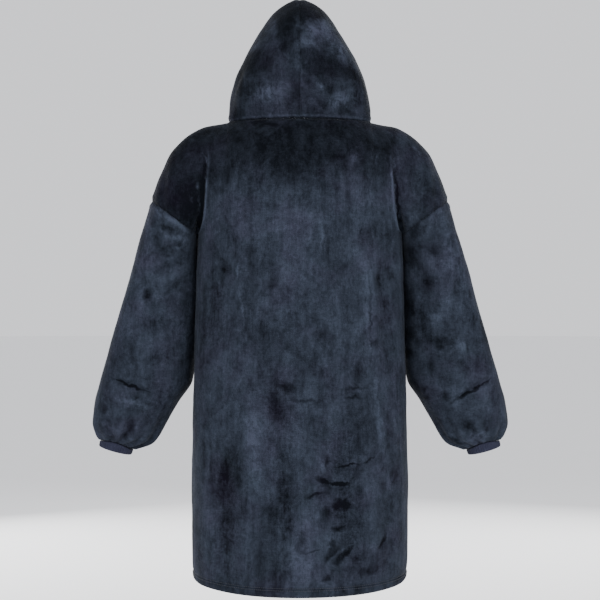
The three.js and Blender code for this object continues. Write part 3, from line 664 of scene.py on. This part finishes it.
def cuff_points(hand):
    """The outer face of a cuff below the wrist seam, raised in ribs that run down the arm."""
    count = CUFF_RIBS * RIB_STEPS
    turns = np.linspace(0, 2 * math.pi, count + 1)
    turns[-1] = 0
    raised = CUFF["rib"] * np.cos(turns * CUFF_RIBS)
    middle, down = ring_frame(1.0)
    spoke = sleeve_ring(1.0, turns) - middle
    lift = -(spoke @ down)
    spoke = spoke + lift[:, None] * down
    away = spoke / np.linalg.norm(spoke, axis=1)[:, None]
    under = middle + spoke - away * CUFF["inset"] - down * (lift - CUFF["gap"])[:, None]
    rows = [under - down * CUFF["tuck"], under]
    for share in np.linspace(0, 1, CUFF["rows"] + 1):
        rounded = CUFF["rounding"] * (ease((share - 0.8) / 0.2) + ease((0.15 - share) / 0.15))
        ring = middle + spoke * mix(1, CUFF["flare"], share) + away * (raised - rounded)[:, None]
        rows.append(ring + down * (share * (CUFF["length"] + lift) - lift + CUFF["gap"])[:, None])
    return np.array(rows) * [hand, 1, 1]


def hood_points(hand):
    """The outer face of a hood half, from the neck seam up and from the centre seam to the face edge."""
    across = np.linspace(0, 1, HOOD["columns"] + 1)
    angle = np.where(across <= 0.5, across, across - 0.5) * math.pi
    sections = np.linspace(0, len(HOOD_SECTIONS) - 1, HOOD["rows"] + 1)
    rows = []
    for section in sections:
        at = {key: read(section) for key, read in hood_at.items()}
        onward = np.where(across > 0.5, ease(section - len(HOOD_SECTIONS) + 2), 0)
        sine = mix(np.sin(angle) ** (2 / at["round"]), 2 * across - 1, onward)
        cosine = mix(np.maximum(np.cos(angle), 0) ** (2 / at["round"]), 2 - 2 * across, onward)
        behind = {"x": at["side_x"] * sine}
        behind.update({c: mix(at["side_" + c], at["seam_" + c], cosine) for c in "yz"})
        before = {"x": mix(at["edge_x"], at["side_x"], cosine)}
        before.update({c: mix(at["side_" + c], at["edge_" + c], sine) for c in "yz"})
        rows.append(np.stack([np.where(across <= 0.5, behind[c], before[c]) for c in "xyz"], -1))
    points = np.array(rows)
    neck = np.stack(neck_point(across / 2), -1)
    points += (neck - points[0]) * ease(1 - sections)[:, None, None]
    return points * [hand, 1, 1]


def grid_normals(points, closed, outwards):
    """Unit normals of a grid. outwards is 1 or -1, for the way that its rows and columns run."""
    if closed:
        ring = points[:, :-1]
        across = np.roll(ring, -1, 1) - np.roll(ring, 1, 1)
        across = np.concatenate([across, across[:, :1]], 1)
    else:
        across = np.gradient(points, axis=1)
    normal = np.cross(across, np.gradient(points, axis=0)) * outwards
    return normal / np.maximum(np.linalg.norm(normal, axis=2), 1e-9)[..., None]


def run_length(points, axis):
    """How far along its row or column each point of a grid lies from that line's start."""
    steps = np.linalg.norm(np.diff(points, axis=axis), axis=2)
    return np.insert(np.cumsum(steps, axis=axis), 0, 0, axis=axis)


def seam_normals(normals, axis, away):
    """Turns the normals of a seam into its own plane, so that the cloth on both its sides sinks one way."""
    near = ease(1 - away / SEAM["reach"])[..., None]
    turned = normals - near * (normals @ axis)[..., None] * axis
    return turned / np.linalg.norm(turned, axis=-1)[..., None]


def neck_normals(normals, turn, away):
    """The same at the neck seam, whose wall leans in."""
    step = 0.002
    along = np.stack(neck_point(turn + step), -1) - np.stack(neck_point(turn - step), -1)
    along /= np.linalg.norm(along, axis=-1)[..., None]
    outward = np.cross(along, [0, 0, 1])
    outward /= np.linalg.norm(outward, axis=-1)[..., None]
    centre = np.stack(neck_point(turn), -1) * [1, 1, 0]
    outward *= np.sign((outward * centre).sum(-1))[..., None]
    rise = np.cross(outward, along)
    rise *= np.sign(rise[..., 2:])
    near = ease(1 - away / SEAM["reach"])[..., None]
    turned = mix(normals, (outward + NECK_RISE * rise) / math.hypot(1, NECK_RISE), near)
    return turned / np.linalg.norm(turned, axis=-1)[..., None]


def crease_field(x, z, row):
    """How far one crease sinks the cloth at places x, z that are seen from its side."""
    way = np.array([row["x1"] - row["x0"], row["z1"] - row["z0"]])
    length = np.hypot(*way)
    way = way / length
    dx, dz = x - row["x0"], z - row["z0"]
    along = (dx * way[0] + dz * way[1]) / length
    off = dx * way[1] - dz * way[0] - row["bow"] * 4 * along * (1 - along)
    ends = ease(along / 0.25) * ease((1 - along) / 0.3)
    half = row["half"] * mix(1.25, 0.85, np.clip(along, 0, 1))
    beside = bell(np.abs(off) - 2.1 * half, half)
    return row["depth"] * ends * (bell(off, half) - row["rim"] * beside)


def waves(points, seed):
    """Small uneven swells of the cloth, in millimetres."""
    rows, columns = points.shape[:2]
    rise = np.zeros((rows, columns))
    for k, wave in enumerate(WAVES):
        shift = Vector((seed * 7.3, k * 11.1, seed * 3.7))
        places = points.reshape(-1, 3) / wave["size"]
        values = [noise.noise(Vector(p) + shift) for p in places]
        rise += np.array(values).reshape(rows, columns) * wave["height"]
    return rise


def zone_tone(side, x, z):
    """How the pile of a body panel lies, with the painted shade of its upper body: lighter above 0 and darker
    below it.
    """
    zone = NAP_AND_SHADE_ZONES[side]
    uneven = zone["uneven"] * (np.sin(x / 31 + 1) + 0.6 * np.sin(x / 13))
    upper = ease((z - zone["down_to"] + uneven) / zone["soft"] + 0.5)
    beyond = ease((np.abs(x) - crease_at(z)) / ARMPIT["half"] + 0.5)
    outer = np.where(x > 0, zone["left"], zone["right"]) * ease((z - UNDERARM["z"]) / UNDERARM_CALM)
    return mix(zone["middle"] * upper, outer, beyond)


def add_piece(name, bm):
    mesh = bpy.data.meshes.new(name)
    bm.to_mesh(mesh)
    bm.free()
    piece = bpy.data.objects.new(name, mesh)
    bpy.context.collection.objects.link(piece)
    return piece


def make_sheet(name, points, marks, flip=False, weld=False):
    """A piece from a grid of points in millimetres, with the values in marks as attributes of its points."""
    rows, columns = points.shape[:2]
    bm = bmesh.new()
    bmesh.ops.create_grid(bm, x_segments=columns - 1, y_segments=rows - 1, size=1)
    flat = np.array([v.co for v in bm.verts])
    j = np.rint((flat[:, 0] + 1) / 2 * (columns - 1)).astype(int)
    i = np.rint((flat[:, 1] + 1) / 2 * (rows - 1)).astype(int)
    layers = {key: bm.verts.layers.float.new(key) for key in marks}
    for v, row, column in zip(bm.verts, i, j):
        v.co = points[row, column] * MM
        for key, layer in layers.items():
            v[layer] = marks[key][row, column]
    if flip:
        bmesh.ops.reverse_faces(bm, faces=bm.faces)
    if weld:
        bmesh.ops.remove_doubles(bm, verts=bm.verts, dist=1e-6)
    for face in bm.faces:
        face.smooth = True
    return add_piece(name, bm)


def thicken(piece, wall):
    """Gives a sheet its thickness, inwards from its outer face."""
    solid = piece.modifiers.new("wall", "SOLIDIFY")
    solid.thickness = wall * MM
    solid.offset = -1
    return piece


def hem_rise(off):
    """A turned and stitched hem: its edge curls in, and it is full up to the stitching, where it sinks."""
    curl = HEM["curl"] * np.clip(1 - off / HEM["curl_reach"], 0, 1) ** 2
    puff = HEM["puff"] * np.sin(np.clip(off / HEM_DEPTH, 0, 1) * math.pi)
    return puff - curl - HEM["sink"] * bell(off - HEM_DEPTH, HEM["half"])


def seam_rise(off, sink):
    """The cloth on one side of a seam: it sinks into it, and stands up a little beside it."""
    half = SEAM["half"]
    return -sink * bell(off, half) + sink * SEAM["roll"] * bell(off - 2.6 * half, half)


def make_panel(side):
    facing = 1 if side == "back" else -1
    points, underarm = panel_points(side)
    down_rows = run_length(points, 0)
    in_columns = run_length(points, 1)
    from_top = down_rows[-1] - down_rows
    from_side = np.minimum(in_columns, in_columns[:, -1:] - in_columns)
    near_neck = bell(np.abs(points[..., 0]) - NECK["half"], NECK_BLUR["reach"])
    near_neck *= ease(from_top / NECK_BLUR["below"]) * ease(from_side / NECK_BLUR["clear"])
    width = NECK_BLUR["columns"]
    padded = np.pad(points[..., 1], ((0, 0), (width, width)), "edge")
    blurred = sum(np.roll(padded, k, 1) for k in range(-width, width + 1))[:, width:-width] / (2 * width + 1)
    points[..., 1] = mix(points[..., 1], blurred, near_neck)
    x, z = points[..., 0], points[..., 2]
    hand = np.sign(x[:1])
    rows = np.arange(len(points))[:, None]
    wave = np.sin(z / np.where(hand > 0, WANDER["left"], WANDER["right"]))
    wave *= ease((UNDERARM["z"] - z) / WANDER["below"])
    wander = WANDER["wide"] * wave + facing * WANDER["gap"]
    points[..., 1] += wander * ease(1 - from_side / WANDER["reach"]) * (rows <= underarm)
    normals = grid_normals(points, False, -facing)
    seam_y = np.array([0.0, 1.0, 0.0])
    below = np.where(rows > underarm, 1e6, from_side)
    normals = seam_normals(normals, seam_y, below)
    for way in (-1, 1):
        slope = ARMHOLE_AXIS * [way, 1, 1]
        above = np.where((rows > underarm) & (hand == way), from_side, 1e6)
        normals = seam_normals(normals, slope, above)
    normals = seam_normals(normals, seam_y, np.where(np.abs(x) > NECK["half"], from_top, 1e6))
    quarter = np.arcsin(np.clip(np.abs(x[-1]) / NECK["half"], 0, 1)) / (2 * math.pi)
    turn = np.broadcast_to(hand[0] * (quarter if side == "back" else 0.5 - quarter), x.shape)
    normals = neck_normals(normals, turn, np.where(np.abs(x[-1:]) <= NECK["half"], from_top, 1e6))
    creases = sum(crease_field(x, z, row) for row in BODY_CREASES if row["side"] == side)
    off = np.abs(x) - crease_at(z)
    reach = ease((ARMPIT["top"] - z) / ARMPIT["fade"]) * ease((z - UNDERARM["z"]) / ARMPIT["low_fade"])
    armpit = ARMPIT["sink"] * bell(off - ARMPIT["out"], ARMPIT["half"])
    armpit = (armpit - ARMPIT["ridge"] * bell(off + ARMPIT["ridge_in"], ARMPIT["ridge_half"])) * reach
    neck = np.abs(x) < NECK["half"]
    seams = np.where(neck, seam_rise(from_top, SEAM["neck"]), seam_rise(from_top, SEAM["shoulder"]))
    calm = ease(np.hypot(np.abs(x) - UNDERARM["x"], z - UNDERARM["z"]) / UNDERARM_CALM)
    at_side = np.where(rows > underarm, SEAM["armhole"], SEAM["side"]) * calm
    seams = seams + seam_rise(from_side, 1) * at_side
    hem = hem_rise(down_rows)
    sunk = creases * ease(from_top / FADE["crease_top"]) * ease(from_side / FADE["crease_side"]) + armpit
    fade = ease(from_top / FADE["wave_top"]) * ease(from_side / FADE["wave_side"])
    rise = seams + hem - sunk + waves(points, 1 if side == "back" else 2) * fade
    points = points + normals * rise[..., None]
    # A painted highlight along the ridge beside the armpit crease, added to the pile's tone and the painted
    # shade of the upper body.
    painted_ridge_highlight = ARMPIT["painted_ridge_highlight"] * reach * bell(off + ARMPIT["ridge_in"], ARMPIT["painted_ridge_highlight_half"])
    nap_and_painted_light = zone_tone(side, x, z) + painted_ridge_highlight + HEM_NAP * (down_rows < HEM_DEPTH)
    # The sinks of the creases and seams are kept as painted shade that darkens them.
    marks = dict(nap_and_painted_light=nap_and_painted_light, painted_fold_shade=sunk + np.maximum(-seams, 0), shown=np.ones_like(x))
    piece = make_sheet(side + "_cloth", points, marks, flip=facing > 0)
    return thicken(piece, WALL), points, normals


def make_sleeve(hand_name):
    hand = SIDES[hand_name]
    points, shares, turns = sleeve_points(hand)
    normals = grid_normals(points, True, -hand)
    x, z = points[..., 0] * hand, points[..., 2]
    behind = np.sin(turns) >= 0
    sunk = np.zeros_like(x)
    for row in (r for r in SLEEVE_CREASES if r["hand"] == hand_name):
        seen = (behind == (row["side"] == "back")) * ease(np.abs(np.sin(turns)) / 0.3)
        sunk += crease_field(x, z, row) * seen
    down = run_length(points, 0)
    calm = ease(np.hypot(x - UNDERARM["x"], z - UNDERARM["z"]) / UNDERARM_CALM)
    seams = seam_rise(down, SEAM["armhole"]) * calm - GATHERS["sink"] * bell(down[-1] - down, GATHERS["half"])
    normals = seam_normals(normals, ARMHOLE_AXIS * [hand, 1, 1], down)
    gathered = ease((shares - GATHER_FROM) / (1 - GATHER_FROM))[:, None]
    phase = GATHERS["count"] * turns + GATHERS["drift"] * np.sin(3 * turns + hand) + 0.5 * hand
    pleats = GATHERS["height"] * gathered * np.cos(phase) * (1 + 0.35 * np.sin(5 * turns + hand))
    fade = ease(down / FADE["wave_side"]) * ease((down[-1] - down) / FADE["wrist"])
    pleats_shown = pleats * ease((down[-1] - down + GATHERS["end"]) / GATHERS["end_reach"])
    rise = seams + pleats_shown - sunk * ease(down / FADE["sleeve_crease"]) + waves(points, 3 + hand) * fade
    points = points + normals * rise[..., None]
    points[:, -1] = points[:, 0]
    shown = mix(SHOWN_IN_FRONT, 1, ease(np.sin(turns) * 2 + 0.5)) + 0 * x
    # The creases, the seams and the troughs of the wrist's gathers are kept as painted shade, and the
    # gathers' tops as a painted highlight.
    marks = dict(nap_and_painted_light=0 * x, painted_fold_shade=sunk + np.maximum(-seams, 0) - pleats, shown=shown)
    return thicken(make_sheet(f"sleeve_{hand_name}_cloth", points, marks, flip=hand > 0, weld=True), WALL)


def make_cuff(hand_name):
    hand = SIDES[hand_name]
    points = cuff_points(hand)
    points[:, -1] = points[:, 0]
    marks = dict(painted_fold_shade=np.zeros(points.shape[:2]))
    piece = make_sheet(f"cuff_{hand_name}_knit", points, marks, flip=hand > 0, weld=True)
    return thicken(piece, CUFF_WALL)


def make_hood(hand_name):
    hand = SIDES[hand_name]
    points = hood_points(hand)
    normals = grid_normals(points, False, -hand)
    up, across = run_length(points, 0), run_length(points, 1)
    to_edge = np.minimum(across[:, -1:] - across, up[-1:] - up)
    s = np.linspace(0, 1, len(points))[:, None]
    a = np.linspace(0, 1, points.shape[1])[None]
    sunk = np.zeros(points.shape[:2])
    for row in (r for r in HOOD_CREASES if r["hand"] == hand_name):
        place = dict(x0=row["a0"], z0=row["s0"], x1=row["a1"], z1=row["s1"], bow=0.02, rim=0.4)
        sunk += crease_field(a + 0 * s, s + 0 * a, dict(place, half=row["half"], depth=row["depth"]))
    seams = seam_rise(up, SEAM["neck"]) + seam_rise(across, SEAM["crown"]) * ease(up / 8 + 0.2)
    normals = seam_normals(normals, np.array([1.0, 0.0, 0.0]), across)
    normals = neck_normals(normals, np.broadcast_to(hand * a / 2, up.shape), up)
    fade = ease(up / FADE["crease_top"]) * ease(across / FADE["wave_side"])
    rise = seams + hem_rise(to_edge) * ease(up / FADE["wave_top"]) + (waves(points, 6 + hand) - sunk) * fade
    points = points + normals * rise[..., None]
    # A painted highlight along a line just above the neck seam, and painted shade towards the top of the
    # hood; its creases and seams are kept as painted shade too.
    line = HOOD_TONE_AND_PAINTED_LIGHT["line"] * bell(up - HOOD_TONE_AND_PAINTED_LIGHT["line_up"], HOOD_TONE_AND_PAINTED_LIGHT["line_half"])
    shown = mix(SHOWN_IN_FRONT, 1, ease((0.6 - a) * 4)) + 0 * s
    top = HOOD_TONE_AND_PAINTED_LIGHT["top"] * ease((points[..., 2] - HOOD_TONE_AND_PAINTED_LIGHT["top_from"]) / 40)
    marks = dict(nap_and_painted_light=HOOD_TONE_AND_PAINTED_LIGHT["all"] + top + line, painted_fold_shade=sunk * fade + np.maximum(-seams, 0), shown=shown)
    return thicken(make_sheet(f"hood_{hand_name}_cloth", points, marks, flip=hand > 0), WALL)


def stitch_row(bm, line, facing):
    """A row of stitches along a line of points, each a small bead that lies on the cloth."""
    steps = np.linalg.norm(np.diff(line, axis=0), axis=1)
    run = np.insert(np.cumsum(steps), 0, 0)
    step = STITCH["long"] + STITCH["gap"]
    half, thick = STITCH["long"] / 2 * MM, STITCH["thread"] / 2 * MM
    for k in range(int(run[-1] // step)):
        at = (k + 0.5) * step
        middle = np.array([np.interp(at, run, line[:, c]) for c in range(3)])
        ahead = np.array([np.interp(at + 1, run, line[:, c]) for c in range(3)])
        out = np.array([np.interp(at, run, facing[:, c]) for c in range(3)])
        way = Vector(ahead - middle).normalized()
        up = Vector(out).normalized()
        side = way.cross(up).normalized()
        place = Matrix.Translation(Vector(middle + out * STITCH["raised"]) * MM)
        turn = Matrix((way, side, up)).transposed().to_4x4()
        size = Matrix.Diagonal((half, thick, thick, 1))
        bmesh.ops.create_uvsphere(bm, u_segments=6, v_segments=4, radius=1, matrix=place @ turn @ size)


class Wire:
    """A socket of a material that can be added, subtracted, multiplied and clamped."""

    def __init__(self, material, socket):
        self.material, self.socket = material, socket

    def maths(self, operation, a, b):
        return self.material.node("ShaderNodeMath", dict(operation=operation), {0: a, 1: b})

    def __add__(self, other):
        return self.maths("ADD", self, other)

    def __radd__(self, other):
        return self.maths("ADD", other, self)

    def __sub__(self, other):
        return self.maths("SUBTRACT", self, other)

    def __rsub__(self, other):
        return self.maths("SUBTRACT", other, self)

    def __mul__(self, other):
        return self.maths("MULTIPLY", self, other)

    def __rmul__(self, other):
        return self.maths("MULTIPLY", other, self)

    def clamp(self, low=0.0, high=1.0):
        return self.material.node("ShaderNodeClamp", {}, {"Value": self, "Min": low, "Max": high})


class Material:
    def __init__(self, name):
        self.material = bpy.data.materials.new(name)
        self.material.use_nodes = True
        self.tree = self.material.node_tree
        self.shader = self.tree.nodes["Principled BSDF"]
        self.place = self.node("ShaderNodeTexCoord", {}, {}, "Object")

    def node(self, kind, settings, sockets, output=0):
        node = self.tree.nodes.new(kind)
        for key, value in settings.items():
            setattr(node, key, value)
        for key, value in sockets.items():
            self.put(node, key, value)
        return Wire(self, node.outputs[output])

    def vector(self, operation, sockets):
        return self.node("ShaderNodeVectorMath", dict(operation=operation), sockets)

    def put(self, node, key, value):
        if isinstance(value, Wire):
            self.tree.links.new(value.socket, node.inputs[key])
        else:
            node.inputs[key].default_value = value

    def set(self, **sockets):
        for key, value in sockets.items():
            self.put(self.shader, key.replace("_", " "), value)

    def noise(self, scale, detail=2.0, roughness=0.5, distortion=0.0):
        """Noise about 0. scale is in spots a metre, one number or one for each of X, Y and Z."""
        stretch = scale if isinstance(scale, tuple) else (scale, scale, scale)
        place = self.vector("MULTIPLY", {0: self.place, 1: stretch})
        sockets = dict(Vector=place, Scale=1.0, Detail=detail, Roughness=roughness, Distortion=distortion)
        return self.node("ShaderNodeTexNoise", {}, sockets) - 0.5

    def marks(self, rows):
        """The sum of soft marks in the garment's x and z, with uneven edges."""
        wobble = self.node("ShaderNodeTexNoise", {}, dict(Vector=self.place, Scale=65.0, Detail=4.0), "Color")
        wobble = self.vector("SUBTRACT", {0: wobble, 1: (0.5, 0.5, 0.5)})
        wobble = self.vector("SCALE", {0: wobble, "Scale": MARK_WOBBLE * MM})
        place = self.vector("ADD", {0: self.place, 1: wobble})
        total = 0.0
        for row in rows:
            dx, dz = row["x1"] - row["x0"], row["z1"] - row["z0"]
            long = math.hypot(dx, dz) / 2 + row["reach"]
            sockets = dict(
                Vector=place,
                Location=((row["x0"] + dx / 2) * MM, 0, (row["z0"] + dz / 2) * MM),
                Rotation=(0, math.atan2(-dz, dx), 0),
                Scale=(long * MM, 10, row["reach"] * MARK_SPREAD * MM),
            )
            within = self.node("ShaderNodeMapping", dict(vector_type="TEXTURE"), sockets)
            soft = self.node("ShaderNodeTexGradient", dict(gradient_type="SPHERICAL"), {0: within}, "Fac")
            total = soft * (row["tone"] * MARK_STRENGTH) + total
        return total

    def value_of(self, name):
        return self.node("ShaderNodeAttribute", dict(attribute_name=name), {}, "Fac")

    def blend(self, share, a, b):
        return self.node("ShaderNodeMix", dict(data_type="RGBA"), {0: share, 6: a, 7: b}, 2)

    def bump(self, height, strength, distance):
        sockets = dict(Height=height, Strength=strength, Distance=distance)
        return self.node("ShaderNodeBump", {}, sockets)


def plush_material(name, rows):
    m = Material(name + "_plush")
    blotch = m.noise(11.0, 7.0, 0.62, 0.8)
    patch = m.noise(38.0, 5.0, 0.66, 0.6)
    streak = m.noise((60.0, 60.0, 8.0), 5.0, 0.65, 0.3)
    speck = m.noise((190.0, 190.0, 150.0), 4.0, 0.7)
    fibre = m.noise((1300.0, 1300.0, 500.0), 2.0, 0.6)
    weft = m.noise((110.0, 110.0, 420.0), 2.0, 0.6)
    warp = m.noise((420.0, 420.0, 110.0), 2.0, 0.6)
    grain = speck * 1.3 + weft * 0.9 + warp * 0.9
    crush = m.noise((38.0, 38.0, 30.0), 6.0, 0.7, 1.2)
    soft = (0.46 + blotch * 1.0 + patch * 0.6 + streak * 0.85 + crush * 0.9).clamp(0.14)
    tone = soft * (1.0 + grain * 0.9 + fibre * 0.5)
    marked = m.marks(rows) * m.value_of("shown") * (0.85 + crush * 3.2).clamp(0.25, 1.7)
    # Added to the tone here: the pile's own lie with painted shade on the upper body and hood, painted
    # highlights on ridges and seams, and the marks; taken away: painted shade in the creases, seams and
    # gathers.
    nap_and_painted_light = (m.value_of("nap_and_painted_light") + marked).clamp(-0.84, 1.1)
    tone = ((tone + nap_and_painted_light * 0.3) * (1.0 + nap_and_painted_light * 0.75) - m.value_of("painted_fold_shade") * 0.036).clamp()
    base = m.blend(tone, DARK_PLUSH, LIGHT_PLUSH)
    violet = (m.noise(12.0, 4.0) * 4.0 + speck * 0.8 + 0.15).clamp()
    base = m.blend(violet * 0.85, base, m.blend(tone, DARK_VIOLET, LIGHT_VIOLET))
    green = (m.noise(13.0, 3.0) * 3.0 - 0.3).clamp()
    base = m.blend(green * 0.6, base, m.blend(tone, DARK_GREEN, LIGHT_GREEN))
    m.set(Base_Color=base, Roughness=(0.9 - tone * 0.1))
    m.set(Sheen_Weight=0.03, Sheen_Roughness=0.35, Sheen_Tint=(0.7, 0.78, 0.92, 1.0), Specular_IOR_Level=0.03)
    tufts = m.noise(420.0, 2.0, 0.6)
    m.set(Normal=m.bump(fibre * 0.5 + tufts * 0.8 + grain * 0.4 + patch * 0.6, 0.7, 0.0016))
    return m.material


def knit_material():
    m = Material("rib_knit")
    yarn = m.noise((700.0, 700.0, 260.0), 2.0, 0.6)
    blotch = m.noise(40.0, 2.0)
    tone = (0.5 + blotch * 0.6 + yarn * 0.9).clamp()
    m.set(Base_Color=m.blend(tone, DARK_KNIT, LIGHT_KNIT), Roughness=0.8 - tone * 0.08)
    m.set(Sheen_Weight=0.04, Sheen_Roughness=0.5, Specular_IOR_Level=0.05)
    m.set(Normal=m.bump(yarn, 0.5, 0.0006))
    return m.material


def thread_material():
    m = Material("dark_thread")
    twist = m.noise((900.0, 900.0, 900.0), 1.0)
    tone = (0.5 + twist * 1.2).clamp()
    m.set(Base_Color=m.blend(tone, DARK_THREAD, LIGHT_THREAD), Roughness=0.55 + tone * 0.1)
    m.set(Normal=m.bump(twist, 0.4, 0.0003))
    return m.material


def floor_material():
    m = Material("pale_floor")
    grain = m.noise(6.0, 2.0)
    m.set(Base_Color=m.blend((0.5 + grain * 0.4).clamp(), DARK_FLOOR, LIGHT_FLOOR), Roughness=0.8)
    return m.material


def soft_light(name, place, target, size, power):
    light = bpy.data.lights.new(name, "AREA")
    light.size = size
    light.energy = power
    lamp = bpy.data.objects.new(name, light)
    lamp.location = place
    lamp.rotation_euler = (Vector(target) - Vector(place)).to_track_quat("-Z", "Y").to_euler()
    bpy.context.collection.objects.link(lamp)


def dress(piece, material, node):
    piece.data.materials.append(material)
    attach(piece, "root")
    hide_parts(node)


DARK_PLUSH = (0.0020, 0.0027, 0.0041, 1)
LIGHT_PLUSH = (0.0300, 0.0375, 0.0548, 1)
DARK_VIOLET = (0.0031, 0.0026, 0.0056, 1)
LIGHT_VIOLET = (0.0330, 0.0356, 0.0560, 1)
DARK_GREEN = (0.0019, 0.0030, 0.0036, 1)
LIGHT_GREEN = (0.0270, 0.0385, 0.0503, 1)
DARK_KNIT = (0.0078, 0.0084, 0.0170, 1)
LIGHT_KNIT = (0.0250, 0.0270, 0.0465, 1)
DARK_THREAD = (0.0030, 0.0040, 0.0080, 1)
LIGHT_THREAD = (0.0120, 0.0150, 0.0250, 1)
DARK_FLOOR, LIGHT_FLOOR = (0.9, 0.9, 0.905, 1), (0.93, 0.93, 0.935, 1)
MARK_WOBBLE, MARK_SPREAD, MARK_STRENGTH = 18.0, 1.5, 2.1

CAMERA = dict(x=-0.0004, away=2.95, z=-0.344, lens=88.5)
FLOOR_Z = -1.38

plush = {name: plush_material(name, rows) for name, rows in MARKS.items()}
knit, thread = knit_material(), thread_material()

panels = {side: make_panel(side) for side in ("back", "front")}
stitches = bmesh.new()
for side, (piece, points, normals) in panels.items():
    run = run_length(points, 0)
    for off in (HEM_DEPTH - STITCH["rows_apart"], HEM_DEPTH):
        row = int(np.argmin(np.abs(run[:, 0] - off)))
        stitch_row(stitches, points[row], normals[row])
for face in stitches.faces:
    face.smooth = True
hem_stitches = add_piece("hem_stitches", stitches)
hem_stitches.data.materials.append(thread)
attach(hem_stitches, "root")

dress(panels["back"][0], plush["back"], "back_panel")
dress(panels["front"][0], plush["front"], "front_panel")
for hand_name in SIDES:
    sleeve = make_sleeve(hand_name)
    cuff = make_cuff(hand_name)
    hood = make_hood(hand_name)
    dress(sleeve, plush["sleeve_" + hand_name], "sleeve_" + hand_name)
    dress(cuff, knit, "cuff_" + hand_name)
    dress(hood, plush["hood_" + hand_name], "hood_" + hand_name)

floor_bm = bmesh.new()
bmesh.ops.create_circle(floor_bm, cap_ends=True, radius=40, segments=96)
bmesh.ops.translate(floor_bm, verts=floor_bm.verts, vec=(0, 0, FLOOR_Z))
floor = add_piece("floor", floor_bm)
floor.data.materials.append(floor_material())

world = bpy.data.worlds.new("pale_room")
bpy.context.scene.world = world
world.use_nodes = True
world.node_tree.nodes["Background"].inputs["Color"].default_value = (0.95, 0.96, 1, 1)
world.node_tree.nodes["Background"].inputs["Strength"].default_value = 1.12

middle = (0, 0, -0.35)
soft_light("key", (1.5, 3.9, 0.7), middle, 2.2, 120)
soft_light("fill", (-2.0, 3.6, 0.2), middle, 2.2, 110)
soft_light("front_key", (-1.5, -3.9, 0.7), middle, 2.2, 120)
soft_light("front_fill", (2.0, -3.6, 0.2), middle, 2.2, 110)

camera_data = bpy.data.cameras.new("camera")
camera_data.lens = CAMERA["lens"]
camera_data.sensor_width = 36
camera = bpy.data.objects.new("camera", camera_data)
camera.location = (CAMERA["x"], CAMERA["away"], CAMERA["z"])
camera.rotation_euler = (math.radians(90), 0, math.radians(180))
bpy.context.collection.objects.link(camera)
bpy.context.scene.camera = camera
